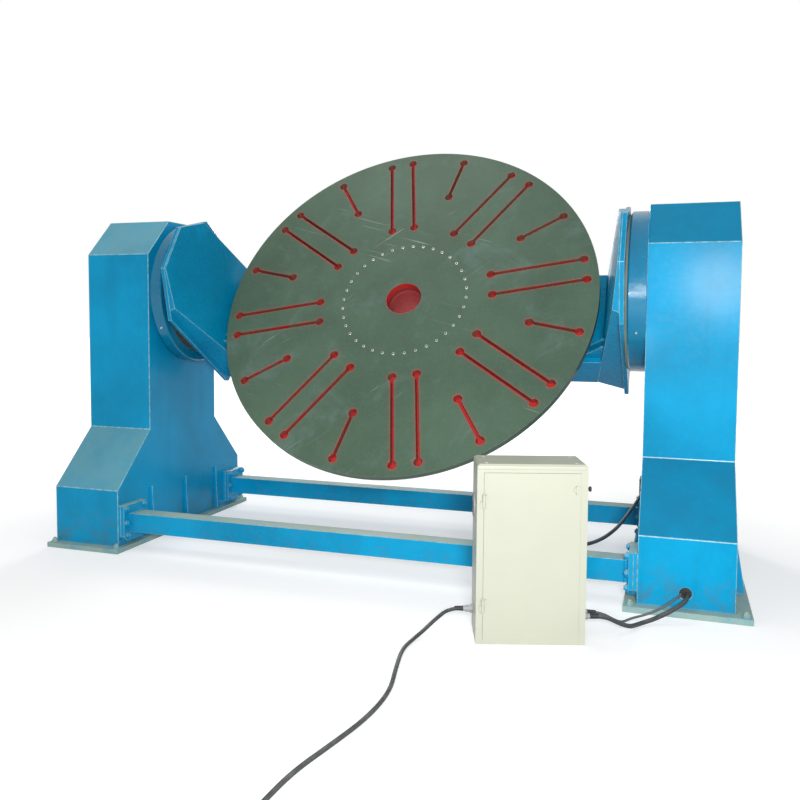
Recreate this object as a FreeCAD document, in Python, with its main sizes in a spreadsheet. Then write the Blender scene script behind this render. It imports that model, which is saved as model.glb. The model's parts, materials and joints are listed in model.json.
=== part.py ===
"""Head-and-tail tilt-turn welding positioner with a 2.5 m slotted turntable.

Millimetres, +Z up.  Three frames are used:
  stand    X between the columns, Y across the tilt axis, Z from the floor
  cradle   origin on the tilt axis above the table's centre, Z out of the table's face
  cabinet  origin at the front left floor corner, X along the front, Y into the depth
"""
import FreeCAD, Part
import math
import os
import re
import Sketcher

doc = FreeCAD.newDocument("positioner")
size = doc.addObject("Spreadsheet::Sheet", "Size")

SIZES = [
    # where the frame's zero lies on the floor
    ("datum_x", -30, "from the zero to the middle between the columns"),
    ("datum_y", 331.64, "from the zero to the tilt axis"),
    # columns
    ("column_gap", 3164, "between the inner faces"),
    ("column_w", 475, "along X"),
    ("column_top", 2140, "ridge above the floor"),
    ("ridge_depth", 330, "flat top between the shoulders"),
    ("shoulder_z", 1900, "lower edge of the shoulder chamfer"),
    ("mast_depth", 810, "slim upper part"),
    ("flare_z", 735, "where the foot starts to widen"),
    ("foot_z", 385, "where the foot is at its full depth"),
    ("foot_depth", 1500, "foot, along Y"),
    ("column_wall", 12, "plate of the columns"),
    ("hatch_w", 340, "service cover of the drive column"),
    ("hatch_h", 520, ""),
    ("hatch_t", 6, ""),
    # base plates and their ribs
    ("sole_t", 30, "base plate"),
    ("sole_reach", 65, "beyond the foot, front and rear"),
    ("drive_sole_in", 66, "beyond the column, inwards"),
    ("drive_sole_out", 80, "beyond the column, outwards"),
    ("idler_sole_in", 41, ""),
    ("idler_sole_out", 20, ""),
    ("rib_t", 16, "gusset rib"),
    ("rib_tall", 320, ""),
    ("rib_pitch", 400, "between ribs"),
    ("rib_toe", 14, "from the rib's toe to the edge of the plate"),
    ("anchor_inset", 33, "anchor to the edge of the plate"),
    ("anchor_hole", 28, "diameter"),
    # tie beams
    ("beam_a", 120, "square tube"),
    ("beam_wall", 8, ""),
    ("beam_z", 175, "centre line above the floor"),
    ("flange_a", 230, "end flange and pad, square"),
    ("flange_t", 25, "end flange of a beam"),
    ("pad_t", 20, "pad on the column"),
    ("flange_clip", 34, "clipped lower outer corner"),
    ("tie_pitch", 92, "between bolts of one column"),
    ("tie_reach", 92, "bolt column to the beam's centre"),
    ("tie_head", 36, "across flats"),
    ("tie_head_t", 15, ""),
    # tilt axis and its bearings
    ("axis_z", 1650, "tilt axis above the floor"),
    ("drum_d", 940, ""),
    ("drum_len", 100, "drive drum"),
    ("seal_gap", 12, "drive drum to end plate"),
    ("seal_d", 905, ""),
    ("boss_d", 770, "idler boss on the column"),
    ("boss_len", 64, ""),
    ("idler_len", 73, "idler ring"),
    ("neck_d", 814, "rotating neck of the idler end"),
    ("neck_len", 63, ""),
    ("journal_d", 440, "both trunnions"),
    ("fit", 0.05, "radial clearance of a running fit"),
    ("run_gap", 0.5, "between faces that run past each other"),
    ("drum_round", 8, "edge chamfer of the drums"),
    # cradle
    ("rest_tilt", 57.73, "table face from the horizontal"),
    ("end_t", 25, "end plate"),
    ("end_up", 392, "axis to the end plate's upper edge"),
    ("end_down", 415, ""),
    ("end_front", 545, "axis to the front edge"),
    ("end_rear", 535, ""),
    ("end_clip", 240, "clipped front corners"),
    ("end_round", 30, "rear corners"),
    ("arm_tip", 11, "arm's thickness at the front edge"),
    ("arm_slope", 0.147, "inner face per unit of depth"),
    ("arm_up", 326, "axis to the arm's top"),
    ("arm_low", 370, "axis to its underside at the end plate"),
    ("arm_wall", 10, ""),
    ("box_front", 282, "axis to the front of the cross box"),
    ("box_wall", 12, ""),
    ("knee", 128, "corner gusset, both legs"),
    ("knee_t", 14, ""),
    ("knee_first", 228, "axis to the upper gusset"),
    ("knee_pitch", 52, ""),
    # slewing ring and turning drive
    ("face_z", -61, "table face from the tilt axis"),
    ("gear_m", 12, "module"),
    ("gear_n", 78, "teeth of the ring"),
    ("pinion_n", 14, ""),
    ("ring_h", 105, "geared ring"),
    ("ring_bore", 770, "its raceway"),
    ("ring_step", 10, "fixed ring below the table, geared ring above its seat"),
    ("core_bore", 660, "fixed ring"),
    ("seat_d", 800, "mounting drum"),
    ("pinion_h", 85, ""),
    ("shaft_d", 70, ""),
    ("shaft_hole", 130, "through the cross box"),
    ("reducer_w", 250, ""),
    ("reducer_h", 200, "away from the cross box"),
    ("reducer_pad", 25, "its mounting flange"),
    ("motor_d", 190, ""),
    ("motor_len", 330, ""),
    ("cowl_len", 70, "fan cowl"),
    # turntable
    ("table_d", 2500, ""),
    ("table_t", 50, ""),
    ("bore_d", 235, ""),
    ("pattern_angle", 10.7, "slot pattern from the tilt axis, degrees"),
    ("star", 8, "slot pairs, and single slots between them"),
    ("pair_pitch", 157, "between the two slots of a pair"),
    ("slot_edge", 78, "outer end hole's centre to the table's edge"),
    ("slot_run", 592, "between the end holes of a paired slot"),
    ("single_run", 313, "and of a single slot"),
    ("slot_w", 22, ""),
    ("end_hole", 55, "diameter"),
    # control cabinet
    ("cab_x", 903, "front left corner, from the middle between the columns"),
    ("cab_y", -1469, "and from the tilt axis"),
    ("cab_angle", 17.3, "degrees"),
    ("cab_w", 500, ""),
    ("cab_d", 260, ""),
    ("cab_h", 830, ""),
    ("cab_wall", 3, ""),
    ("cap_t", 24, "top cap"),
    ("cap_bevel", 10, ""),
    ("door_side", 30, "frame beside the door"),
    ("door_low", 18, "frame below the door"),
    ("door_high", 792, "top of the opening above the floor"),
    ("door_play", 2, "round the door"),
    ("door_t", 15, ""),
    ("door_proud", 3, "door in front of the frame"),
    ("knuckle_d", 16, "hinge"),
    ("knuckle_h", 30, ""),
    ("pin_d", 8, "hinge pin"),
    ("hinge_low", 150, "lower hinge above the floor"),
    ("hinge_pitch", 480, ""),
    ("latch_z", 717, ""),
    ("latch_in", 18, "latch to the door's edge"),
    ("spindle_d", 12, ""),
    ("knob_d", 30, ""),
    ("knob_t", 14, ""),
    ("cam_len", 34, ""),
    ("tray_gap", 9, "mounting plate to the rear wall"),
    ("tray_edge", 28, "mounting plate to the side walls"),
    ("tray_t", 3, ""),
    ("post_in", 20, "spacer to the plate's edge"),
    ("post_d", 14, ""),
    ("inverter_w", 150, ""),
    ("inverter_h", 260, ""),
    ("inverter_d", 125, "away from the mounting plate"),
    ("inverter_gap", 30, "between the two"),
    ("inverter_z", 430, ""),
    ("panel_w", 80, "keypad of an inverter"),
    ("panel_t", 6, ""),
    ("switch_w", 45, "contactor"),
    ("switch_h", 85, ""),
    ("switch_d", 80, ""),
    ("switch_z", 270, ""),
    ("rail_t", 12, "rail behind the contactors"),
    ("terminal_z", 110, "terminal strip"),
    ("terminal_h", 45, ""),
    ("terminal_d", 48, ""),
    ("grille_d", 104, ""),
    ("grille_t", 8, ""),
    ("grille_y", 155, "from the front"),
    ("grille_z", 609, ""),
    # cables and glands
    ("mains_d", 18, ""),
    ("cradle_cable_d", 20, ""),
    ("drive_cable_d", 22, ""),
    ("sensor_cable_d", 12, ""),
    ("gland_d", 40, ""),
    ("gland_len", 46, ""),
    ("mains_y", 187, "gland from the cabinet's front"),
    ("mains_z", 100, ""),
    ("feed_hole", 60, "cable hole in the drive column"),
    ("feed_z", 106, ""),
    ("grommet_sink", 6, "grommet behind the column's face"),
    ("cradle_gland_in", 40, "rear gland to the cabinet's right side"),
    ("cradle_gland_z", 350, ""),
    ("drive_gland_y", 130, "lower right gland from the cabinet's front"),
    ("drive_gland_pitch", 60, "to the sensor gland behind it"),
    ("drive_gland_z", 90, ""),
    ("feed_pitch", 30, "between the two cables in the grommet"),
    ("junction_back", 280, "front of the junction box to the foot's rear face"),
    ("junction_len", 120, ""),
    ("junction_t", 42, ""),
    ("junction_low", 330, ""),
    ("junction_h", 120, ""),
    ("coil_d", 200, "coil, mid turn"),
    ("coil_a", 38, "width and height of the coiled turns"),
    ("coil_x", 690, "coil from the middle between the columns"),
    ("coil_y", -3050, "and from the tilt axis"),
    ("plug_d", 66, ""),
    ("plug_len", 150, ""),
]
for row, (name, value, note) in enumerate(SIZES, start=1):
    size.set("A%d" % row, name)
    size.set("B%d" % row, str(value))
    size.setAlias("B%d" % row, name)
    size.set("C%d" % row, note)
doc.recompute()
NAMES = {name for name, value, note in SIZES}

# distances that follow from the sizes, as formulas
INNER = "(column_gap / 2)"
OUTER = "(column_gap / 2 + column_w)"
TABLE_X = "((boss_len + idler_len + neck_len - drum_len - seal_gap) / 2)"
HALF = "((column_gap - drum_len - seal_gap - boss_len - idler_len - neck_len - 2 * end_t) / 2)"
UNDER = "(table_t - face_z)"
RING_LOW = "(table_t - face_z + ring_h)"
SEAT_Z = "(table_t - face_z + ring_h + ring_step)"
PINION_X = "(gear_m * (gear_n + pinion_n) / 2)"
BEAM_Y = "(foot_depth / 2 - flange_a / 2)"


def ex(formula):
    """The formula with each size name turned into a reference to its cell."""
    return re.sub(r"[a-z_]+", lambda w: "Size." + w.group() if w.group() in NAMES else w.group(), formula)


def number(formula):
    return float(size.evalExpression(ex(formula)))


def bind(obj, **formulas):
    """Tie properties of an object to formulas of the sheet."""
    for prop, formula in formulas.items():
        obj.setExpression(prop.replace("__", "."), ex(formula))


def body(label):
    made = doc.addObject("PartDesign::Body", label)
    made.Label = label
    return made


def sketch(owner, plane, lift="0", turn=None):
    """Sketch on an origin plane of the body, lifted along the plane's normal."""
    made = owner.newObject("Sketcher::SketchObject", owner.Name + "_sketch")
    faces = [f for f in owner.Origin.OriginFeatures if f.Role == plane + "_Plane"]
    made.AttachmentSupport = (faces[0], "")
    made.MapMode = "FlatFace"
    if turn:
        made.AttachmentOffset = FreeCAD.Placement(
            FreeCAD.Vector(), FreeCAD.Rotation(FreeCAD.Vector(0, 0, 1), number(turn)))
        bind(made, AttachmentOffset__Rotation__Angle=turn)
    bind(made, AttachmentOffset__Base__z=lift)
    return made


def pin(target, geometry, point, x, y):
    """Hold one point of a sketch at two formulas."""
    for kind, formula in (("DistanceX", x), ("DistanceY", y)):
        at = target.addConstraint(Sketcher.Constraint(kind, -1, 1, geometry, point, number(formula)))
        target.setExpression("Constraints[%d]" % at, ex(formula))


def polygon(target, *corners):
    """Closed outline with every corner held by formulas."""
    first = target.GeometryCount
    spots = [FreeCAD.Vector(number(x), number(y), 0) for x, y in corners]
    for a, b in zip(spots, spots[1:] + spots[:1]):
        target.addGeometry(Part.LineSegment(a, b), False)
    for i, (x, y) in enumerate(corners):
        after = first + (i + 1) % len(corners)
        target.addConstraint(Sketcher.Constraint("Coincident", first + i, 2, after, 1))
        pin(target, first + i, 1, x, y)
    return target


def block(target, x0, x1, y0, y1):
    return polygon(target, (x0, y0), (x1, y0), (x1, y1), (x0, y1))


def circle(target, x, y, diameter):
    at = target.addGeometry(Part.Circle(
        FreeCAD.Vector(number(x), number(y), 0), FreeCAD.Vector(0, 0, 1), number(diameter) / 2), False)
    pin(target, at, 3, x, y)
    held = target.addConstraint(Sketcher.Constraint("Diameter", at, number(diameter)))
    target.setExpression("Constraints[%d]" % held, ex(diameter))
    return target


def pad(owner, outline, length, reverse=False, both=False):
    made = owner.newObject("PartDesign::Pad", owner.Name + "_pad")
    made.Profile = outline
    made.Reversed = reverse
    if both:
        made.SideType = "Symmetric"
    bind(made, Length=length)
    outline.Visibility = False
    return made


def pocket(owner, outline, length=None, reverse=False):
    """Cut along the sketch normal's far side, or right through both ways when no length is given."""
    made = owner.newObject("PartDesign::Pocket", owner.Name + "_pocket")
    made.Profile = outline
    made.Reversed = reverse
    if length is None:
        made.Type = "ThroughAll"
        made.SideType = "Symmetric"
    else:
        bind(made, Length=length)
    outline.Visibility = False
    return made


def turned(owner, plane, axis, *corners):
    """Solid of revolution about a sketch axis, from an outline held by formulas."""
    outline = polygon(sketch(owner, plane), *corners)
    made = owner.newObject("PartDesign::Revolution", owner.Name + "_turn")
    made.Profile = outline
    made.ReferenceAxis = (outline, [axis])
    made.Angle = 360
    outline.Visibility = False
    return made


def round_pattern(owner, features, count, plane="XY", over=360):
    """Repeat features of a body about the normal of one of its origin planes."""
    axis = {"XY": "Z_Axis", "XZ": "Y_Axis", "YZ": "X_Axis"}[plane]
    made = owner.newObject("PartDesign::PolarPattern", owner.Name + "_round")
    made.Originals = features
    made.Axis = ([f for f in owner.Origin.OriginFeatures if f.Role == axis][0], [""])
    made.Angle = over
    bind(made, Occurrences=count)
    owner.Tip = made
    return made


def row_pattern(owner, features, axis, count, length, reverse=False):
    """Repeat features along an origin axis; length is the distance from first to last."""
    made = owner.newObject("PartDesign::LinearPattern", owner.Name + "_row")
    made.Originals = features
    made.Direction = ([f for f in owner.Origin.OriginFeatures if f.Role == axis + "_Axis"][0], [""])
    made.Reversed = reverse
    bind(made, Length=length)
    made.Occurrences = count
    owner.Tip = made
    return made


NODES = []


def place(obj, frame, x="0", y="0", z="0"):
    """Put a finished node into the stand; x, y and z shift it in the stand's directions."""
    base = {"stand": ("datum_x", "datum_y", "0"),
            "cradle": ("datum_x + " + TABLE_X, "datum_y", "axis_z"),
            "cabinet": ("datum_x + cab_x", "datum_y + cab_y", "0")}[frame]
    lean = {"stand": None, "cradle": ((1, 0, 0), "rest_tilt"), "cabinet": ((0, 0, 1), "cab_angle")}[frame]
    if lean:
        obj.Placement = FreeCAD.Placement(
            FreeCAD.Vector(), FreeCAD.Rotation(FreeCAD.Vector(*lean[0]), number(lean[1])))
        bind(obj, Placement__Rotation__Angle=lean[1])
    bind(obj, Placement__Base__x=base[0] + " + " + x,
         Placement__Base__y=base[1] + " + " + y,
         Placement__Base__z=base[2] + " + " + z)
    NODES.append(obj)
    return obj


def cut(label, base, tool):
    made = doc.addObject("Part::Cut", label)
    made.Label = label
    made.Base = base
    made.Tool = tool
    return made


# ---------------------------------------------------------------- columns
# Side view of a column in Y and Z: a wide foot, a slim mast and chamfered
# shoulders.  The hollow follows it one wall further in; both slopes lie near
# 45 degrees, so their corners move by tan(22.5) of the wall.

def column_side(inset):
    steps = [("foot_depth / 2 - " + inset, "foot_z - 0.414 * " + inset),
             ("mast_depth / 2 - " + inset, "flare_z - 0.414 * " + inset),
             ("mast_depth / 2 - " + inset, "shoulder_z - 0.414 * " + inset),
             ("ridge_depth / 2 - 0.414 * " + inset, "column_top - " + inset)]
    low = "sole_t + " + inset
    right = [(steps[0][0], low)] + steps
    left = [("-1 * (%s)" % y, z) for y, z in reversed(right)]
    return right + left


def column(label, side):
    """One welded column; side is 1 for the drive column and -1 for the idler column."""
    near = "%d * %s" % (side, INNER)
    shell = body(label + "_shell")
    pad(shell, polygon(sketch(shell, "YZ", near), *column_side("0")), "column_w", reverse=side < 0)
    if side > 0:
        # round cable feed low in the front wall
        pocket(shell, circle(sketch(shell, "XZ", "foot_depth / 2 - 2 * column_wall"),
                             INNER + " + column_w / 2", "feed_z", "feed_hole"),
               "4 * column_wall", reverse=True)
    room = body(label + "_room")
    pad(room, polygon(sketch(room, "YZ", "%d * (%s + column_wall)" % (side, INNER)),
                      *column_side("column_wall")), "column_w - 2 * column_wall", reverse=side < 0)
    return place(cut(label, shell, room), "stand")


column("drive_column", 1)
column("idler_column", -1)

# grommet that closes the cable feed
grommet = body("cable_grommet")
pad(grommet, circle(sketch(grommet, "XZ", "foot_depth / 2 - grommet_sink"),
                    INNER + " + column_w / 2", "feed_z", "feed_hole - 2 * fit"),
    "column_wall - grommet_sink + 10", reverse=True)
place(grommet, "stand")

# bolted service cover on the outer side of the drive column
hatch = body("drive_service_cover")
pad(hatch, block(sketch(hatch, "YZ", OUTER), "-hatch_w / 2", "hatch_w / 2",
                 "axis_z - hatch_h / 2", "axis_z + hatch_h / 2"), "hatch_t")
corner_bolt = pad(hatch, circle(sketch(hatch, "YZ", OUTER + " + hatch_t"),
                                "-hatch_w / 2 + 22", "axis_z - hatch_h / 2 + 22", "18"), "7")
across = row_pattern(hatch, [corner_bolt], "Y", 2, "hatch_w - 44")
upward = row_pattern(hatch, [corner_bolt], "Z", 2, "hatch_h - 44")
far = pad(hatch, circle(sketch(hatch, "YZ", OUTER + " + hatch_t"),
                        "hatch_w / 2 - 22", "axis_z + hatch_h / 2 - 22", "18"), "7")
hatch.Tip = far
place(hatch, "stand")


# ------------------------------------------------- base plates and ribs
def sole(label, side, inward, outward):
    """Base plate with four anchor holes; it reaches further out on the drive side."""
    x0 = "%d * (%s - %s)" % (side, INNER, inward)
    x1 = "%d * (%s + %s)" % (side, OUTER, outward)
    y1 = "foot_depth / 2 + sole_reach"
    plate = body(label)
    pad(plate, block(sketch(plate, "XY"), x0, x1, "-(%s)" % y1, y1), "sole_t")
    holes = sketch(plate, "XY")
    for x in ("%s + %d * anchor_inset" % (x0, side), "%s - %d * anchor_inset" % (x1, side)):
        for sign in ("-", ""):
            circle(holes, x, sign + "(%s - anchor_inset)" % y1, "anchor_hole")
    pocket(plate, holes)
    place(plate, "stand")


def hexagon(target, x, y, flats):
    """Hexagon held at its six corners."""
    reach = "(%s) / sqrt(3)" % flats
    corners = []
    for k in range(6):
        c = "%s + %s * cos(%d)" % (x, reach, 60 * k)
        d = "%s + %s * sin(%d)" % (y, reach, 60 * k)
        corners.append((c, d))
    return polygon(target, *corners)


sole("drive_base_plate", 1, "drive_sole_in", "drive_sole_out")
sole("idler_base_plate", -1, "idler_sole_in", "idler_sole_out")


def ribs(label, edge, sign, reach):
    """Three gusset ribs between a column's side and its base plate."""
    made = body(label)
    foot = "%s + %d * (%s - rib_toe)" % (edge, sign, reach)
    outline = polygon(sketch(made, "XZ", "rib_pitch - rib_t / 2"),
                      (edge, "sole_t"), (foot, "sole_t"), (foot, "sole_t + 24"),
                      (edge + " + %d * 14" % sign, "sole_t + rib_tall"), (edge, "sole_t + rib_tall"))
    first = pad(made, outline, "rib_t")
    row_pattern(made, [first], "Y", 3, "2 * rib_pitch")
    place(made, "stand")


ribs("drive_inner_ribs", INNER, -1, "drive_sole_in")
ribs("drive_outer_ribs", OUTER, 1, "drive_sole_out")
ribs("idler_inner_ribs", "-1 * " + INNER, 1, "idler_sole_in")


# ---------------------------------------------------------------- tie beams
def flange_outline(target, sign):
    """Square flange in Y and Z with its lower outer corner clipped."""
    y0 = "%d * (%s - flange_a / 2)" % (sign, BEAM_Y)
    y1 = "%d * (foot_depth / 2)" % sign
    low = "beam_z - flange_a / 2"
    return polygon(target, (y0, low), ("%s - %d * flange_clip" % (y1, sign), low),
                   (y1, low + " + flange_clip"), (y1, "beam_z + flange_a / 2"),
                   (y0, "beam_z + flange_a / 2"))


def tie_spots(sign):
    middle = "%d * %s" % (sign, BEAM_Y)
    return [("%s + %d * tie_reach" % (middle, j), "beam_z + %d * tie_pitch" % k)
            for j in (-1, 1) for k in (-1, 0, 1) if (j, k) != (sign, -1)] + \
           [("%s + %d * (tie_reach - flange_clip / 3)" % (middle, sign), "beam_z - tie_pitch + flange_clip / 3")]


FLANGE_X = "(column_gap / 2 - pad_t)"


def beam(label, sign):
    """Square tube between two end flanges."""
    made = body(label)
    middle = "%d * %s" % (sign, BEAM_Y)
    tube = block(sketch(made, "YZ"), middle + " - beam_a / 2", middle + " + beam_a / 2",
                 "beam_z - beam_a / 2", "beam_z + beam_a / 2")
    pad(made, tube, "2 * (%s - flange_t)" % FLANGE_X, both=True)
    hollow = block(sketch(made, "YZ"), middle + " - beam_a / 2 + beam_wall",
                   middle + " + beam_a / 2 - beam_wall",
                   "beam_z - beam_a / 2 + beam_wall", "beam_z + beam_a / 2 - beam_wall")
    pocket(made, hollow)
    place(made, "stand")


beam("front_tie_beam", -1)
beam("rear_tie_beam", 1)
flanges = body("tie_beam_flanges")
for side in (1, -1):
    for sign in (1, -1):
        pad(flanges, flange_outline(sketch(flanges, "YZ", "%d * %s" % (side, FLANGE_X)), sign),
            "flange_t", reverse=side > 0)
place(flanges, "stand")


def pads_and_bolts(name, side):
    """Pads welded to one column and the bolt heads of both beams at that column."""
    pads = body(name + "_beam_pads")
    bolts = body(name + "_beam_bolts")
    heads = sketch(bolts, "YZ", "%d * (%s - pad_t - flange_t)" % (side, INNER))
    for sign in (-1, 1):
        pad(pads, flange_outline(sketch(pads, "YZ", "%d * %s" % (side, INNER)), sign), "pad_t", reverse=side > 0)
        for y, z in tie_spots(sign):
            hexagon(heads, y, z, "tie_head")
    pad(bolts, heads, "tie_head_t", reverse=side > 0)
    place(pads, "stand")
    place(bolts, "stand")


pads_and_bolts("drive", 1)
pads_and_bolts("idler", -1)

# ------------------------------------------------ drums and trunnions
# Everything here is turned about the tilt axis: drawn in the XY plane of the
# cradle's frame, X from the table's centre, Y as the radius.

END_OUT = HALF + " + end_t"
drum = body("drive_drum")
drum_in = END_OUT + " + seal_gap"
drum_out = drum_in + " + drum_len"
turned(drum, "XY", "H_Axis",
       (drum_in, "journal_d / 2 + fit"), (drum_in, "drum_d / 2 - drum_round"),
       (drum_in + " + drum_round", "drum_d / 2"), (drum_out, "drum_d / 2"),
       (drum_out, "journal_d / 2 + fit"))
place(drum, "stand", TABLE_X, "0", "axis_z")

seal = body("drive_seal_ring")
turned(seal, "XY", "H_Axis",
       (END_OUT, "journal_d / 2 + 20"), (END_OUT, "seal_d / 2"),
       (drum_in + " - run_gap", "seal_d / 2"), (drum_in + " - run_gap", "journal_d / 2 + 20"))
place(seal, "cradle")

trunnion = body("drive_trunnion")
turned(trunnion, "XY", "H_Axis",
       (END_OUT, "journal_d / 2 - 70"), (END_OUT, "journal_d / 2"),
       (drum_out + " - 4", "journal_d / 2"), (drum_out + " - 4", "journal_d / 2 - 70"))
place(trunnion, "cradle")

neck_out = "-1 * (%s + neck_len)" % END_OUT
ring_out = "-1 * (%s + neck_len + idler_len)" % END_OUT
boss_out = "-1 * (%s + neck_len + idler_len + boss_len)" % END_OUT
housing = body("idler_drum")
turned(housing, "XY", "H_Axis",
       (neck_out, "journal_d / 2 + fit"), (boss_out, "journal_d / 2 + fit"),
       (boss_out, "boss_d / 2"), (ring_out, "boss_d / 2"), (ring_out, "drum_d / 2"),
       (neck_out + " - drum_round", "drum_d / 2"), (neck_out, "drum_d / 2 - drum_round"))
place(housing, "stand", TABLE_X, "0", "axis_z")

tail = body("idler_trunnion")
turned(tail, "XY", "H_Axis",
       ("-1 * (%s)" % END_OUT, "journal_d / 2 - 70"), ("-1 * (%s)" % END_OUT, "neck_d / 2"),
       (neck_out + " + run_gap", "neck_d / 2"), (neck_out + " + run_gap", "journal_d / 2"),
       (boss_out + " + 4", "journal_d / 2"), (boss_out + " + 4", "journal_d / 2 - 70"))
place(tail, "cradle")


# ---------------------------------------------------------------- cradle
def end_outline(target, low, high, inset="0"):
    """End plate in Y and Z of the cradle: square at the rear, clipped at the front."""
    front = "end_front - " + inset
    clip = "(end_clip - 0.586 * %s)" % inset
    return polygon(target, ("-(%s)" % low, "-(end_rear - %s)" % inset), (high, "-(end_rear - %s)" % inset),
                   (high, "%s - end_clip + end_up - (%s) + 0.414 * %s" % (front, high, inset)),
                   ("%s - end_clip + 0.586 * 0" % "end_up", front),
                   ("-(end_down - end_clip)", front),
                   ("-(%s)" % low, "%s - end_clip + end_down - (%s) + 0.414 * %s" % (front, low, inset)))


def end_plate(label, side):
    made = body(label)
    plate = pad(made, end_outline(sketch(made, "YZ", "%d * %s" % (side, HALF)), "end_down", "end_up"),
                "end_t", reverse=side < 0)
    doc.recompute()
    rear = [i for i, edge in enumerate(plate.Shape.Edges, start=1)
            if abs(edge.CenterOfMass.z + number("end_rear")) < 0.01 and edge.Length < number("end_t") + 1]
    rounding = made.newObject("PartDesign::Fillet", label + "_round")
    rounding.Base = (plate, ["Edge%d" % i for i in rear])
    bind(rounding, Radius="end_round")
    place(made, "cradle")


end_plate("drive_end_plate", 1)
end_plate("idler_end_plate", -1)


def arm_face(z, extra="0"):
    """X of the arm's inner face at a height z of the cradle."""
    return "(%s - arm_tip - arm_slope * (end_front - (%s)) + %s)" % (HALF, z, extra)


def arm(label, side):
    """Tapered welded box on the end plate: thin at the front, deep at the cross box."""
    def solid(name, wall):
        made = body(name)
        outline = sketch(made, "YZ", "%d * (%s - %s)" % (side, HALF, wall))
        end_outline(outline, "arm_low - " + wall, "arm_up - " + wall, wall)
        pad(made, outline, "400 - 2 * " + wall, reverse=side > 0)
        inner = sketch(made, "XZ")
        near = [arm_face("end_front + 50", wall), arm_face("-end_rear - 50", wall)]
        polygon(inner, ("%d * %s" % (side, near[0]), "end_front + 50"),
                ("%d * %s" % (side, near[1]), "-end_rear - 50"),
                ("%d * (%s - 500)" % (side, HALF), "-end_rear - 50"),
                ("%d * (%s - 500)" % (side, HALF), "end_front + 50"))
        pocket(made, inner)
        under = sketch(made, "XY")
        rise = "-1 * (arm_low - %s - (arm_low - arm_up) * (%s) / (arm_slope * (end_front + end_rear)))"
        polygon(under, ("%d * %s" % (side, HALF), rise % (wall, "0")),
                ("%d * (%s - 500)" % (side, HALF), rise % (wall, "500")),
                ("%d * (%s - 500)" % (side, HALF), "-end_down - 100"),
                ("%d * %s" % (side, HALF), "-end_down - 100"))
        pocket(made, under)
        return made
    return place(cut(label, solid(label + "_plates", "0"), solid(label + "_room", "arm_wall")), "cradle")


arm("drive_arm", 1)
arm("idler_arm", -1)


# cross box between the arms, with the passage for the pinion shaft
def box_outline(target, wall):
    rear = "-(end_rear - %s)" % wall
    front = "-(box_front + %s)" % wall
    back_x = arm_face("-end_rear", "0 - " + wall)
    front_x = arm_face("-box_front", "0 - " + wall)
    return polygon(target, ("-1 * " + back_x, rear), (back_x, rear), (front_x, front),
                   ("-1 * " + front_x, front))


box_plates = body("cross_box_plates")
pad(box_plates, box_outline(sketch(box_plates, "XZ"), "0"), "2 * arm_up", both=True)
box_room = body("cross_box_room")
pad(box_room, box_outline(sketch(box_room, "XZ"), "box_wall"), "2 * (arm_up - box_wall)", both=True)
pocket(box_plates, circle(sketch(box_plates, "XY"), PINION_X, "0", "shaft_hole"))
place(cut("cross_box", box_plates, box_room), "cradle")


def knees(label, side):
    """Two corner gussets between an arm and the front of the cross box."""
    made = body(label)
    at = arm_face("-box_front")
    tip = arm_face("knee - box_front")
    outline = sketch(made, "XZ", "knee_first")
    polygon(outline, ("%d * %s" % (side, at), "-box_front"), ("%d * %s" % (side, tip), "knee - box_front"),
            ("%d * (%s - 14)" % (side, tip), "knee - box_front"),
            ("%d * (%s - knee)" % (side, at), "14 - box_front"),
            ("%d * (%s - knee)" % (side, at), "-box_front"))
    first = pad(made, outline, "knee_t")
    row_pattern(made, [first], "Y", 2, "knee_pitch", reverse=True)
    place(made, "cradle")


knees("drive_knee_gussets", 1)
knees("idler_knee_gussets", -1)

# mounting drum and the fixed ring of the slewing bearing
seat = body("slewing_seat")
turned(seat, "XZ", "V_Axis", ("core_bore / 2", "-box_front"), ("seat_d / 2", "-box_front"),
       ("seat_d / 2", "-" + SEAT_Z), ("core_bore / 2", "-" + SEAT_Z))
place(seat, "cradle")
core = body("slewing_fixed_ring")
turned(core, "XZ", "V_Axis", ("core_bore / 2", "-" + SEAT_Z), ("ring_bore / 2 - fit", "-" + SEAT_Z),
       ("ring_bore / 2 - fit", "-(%s + ring_step)" % UNDER), ("core_bore / 2", "-(%s + ring_step)" % UNDER))
place(core, "cradle")


# ---------------------------------------------------------------- gearing
# Straight-flanked teeth at 20 degrees: at the pitch circle a tooth is a
# little thinner than the space, which leaves the backlash.

def tooth(target, teeth, root, tip):
    """One tooth on +X, drawn a little way into the rim."""
    pitch = "gear_m * %s / 2" % teeth
    low = "(0.62 * gear_m + (%s) * 0.364 * gear_m)" % root
    high = "(0.62 * gear_m - (%s) * 0.364 * gear_m)" % tip
    return polygon(target, (pitch + " - %s * gear_m - 2" % root, "-" + low), (pitch + " + %s * gear_m" % tip, "-" + high),
                   (pitch + " + %s * gear_m" % tip, high), (pitch + " - %s * gear_m - 2" % root, low))


gear = body("slewing_gear_ring")
turned(gear, "XZ", "V_Axis", ("ring_bore / 2", "-" + RING_LOW),
       ("gear_m * (gear_n / 2 - 1.2)", "-" + RING_LOW),
       ("gear_m * (gear_n / 2 - 1.2)", "-" + UNDER), ("ring_bore / 2", "-" + UNDER))
gear_tooth = pad(gear, tooth(sketch(gear, "XY", "-" + RING_LOW), "gear_n", "1.2", "0.9"),
                 "ring_h - ring_step")
round_pattern(gear, [gear_tooth], "gear_n")
place(gear, "cradle")

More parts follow.
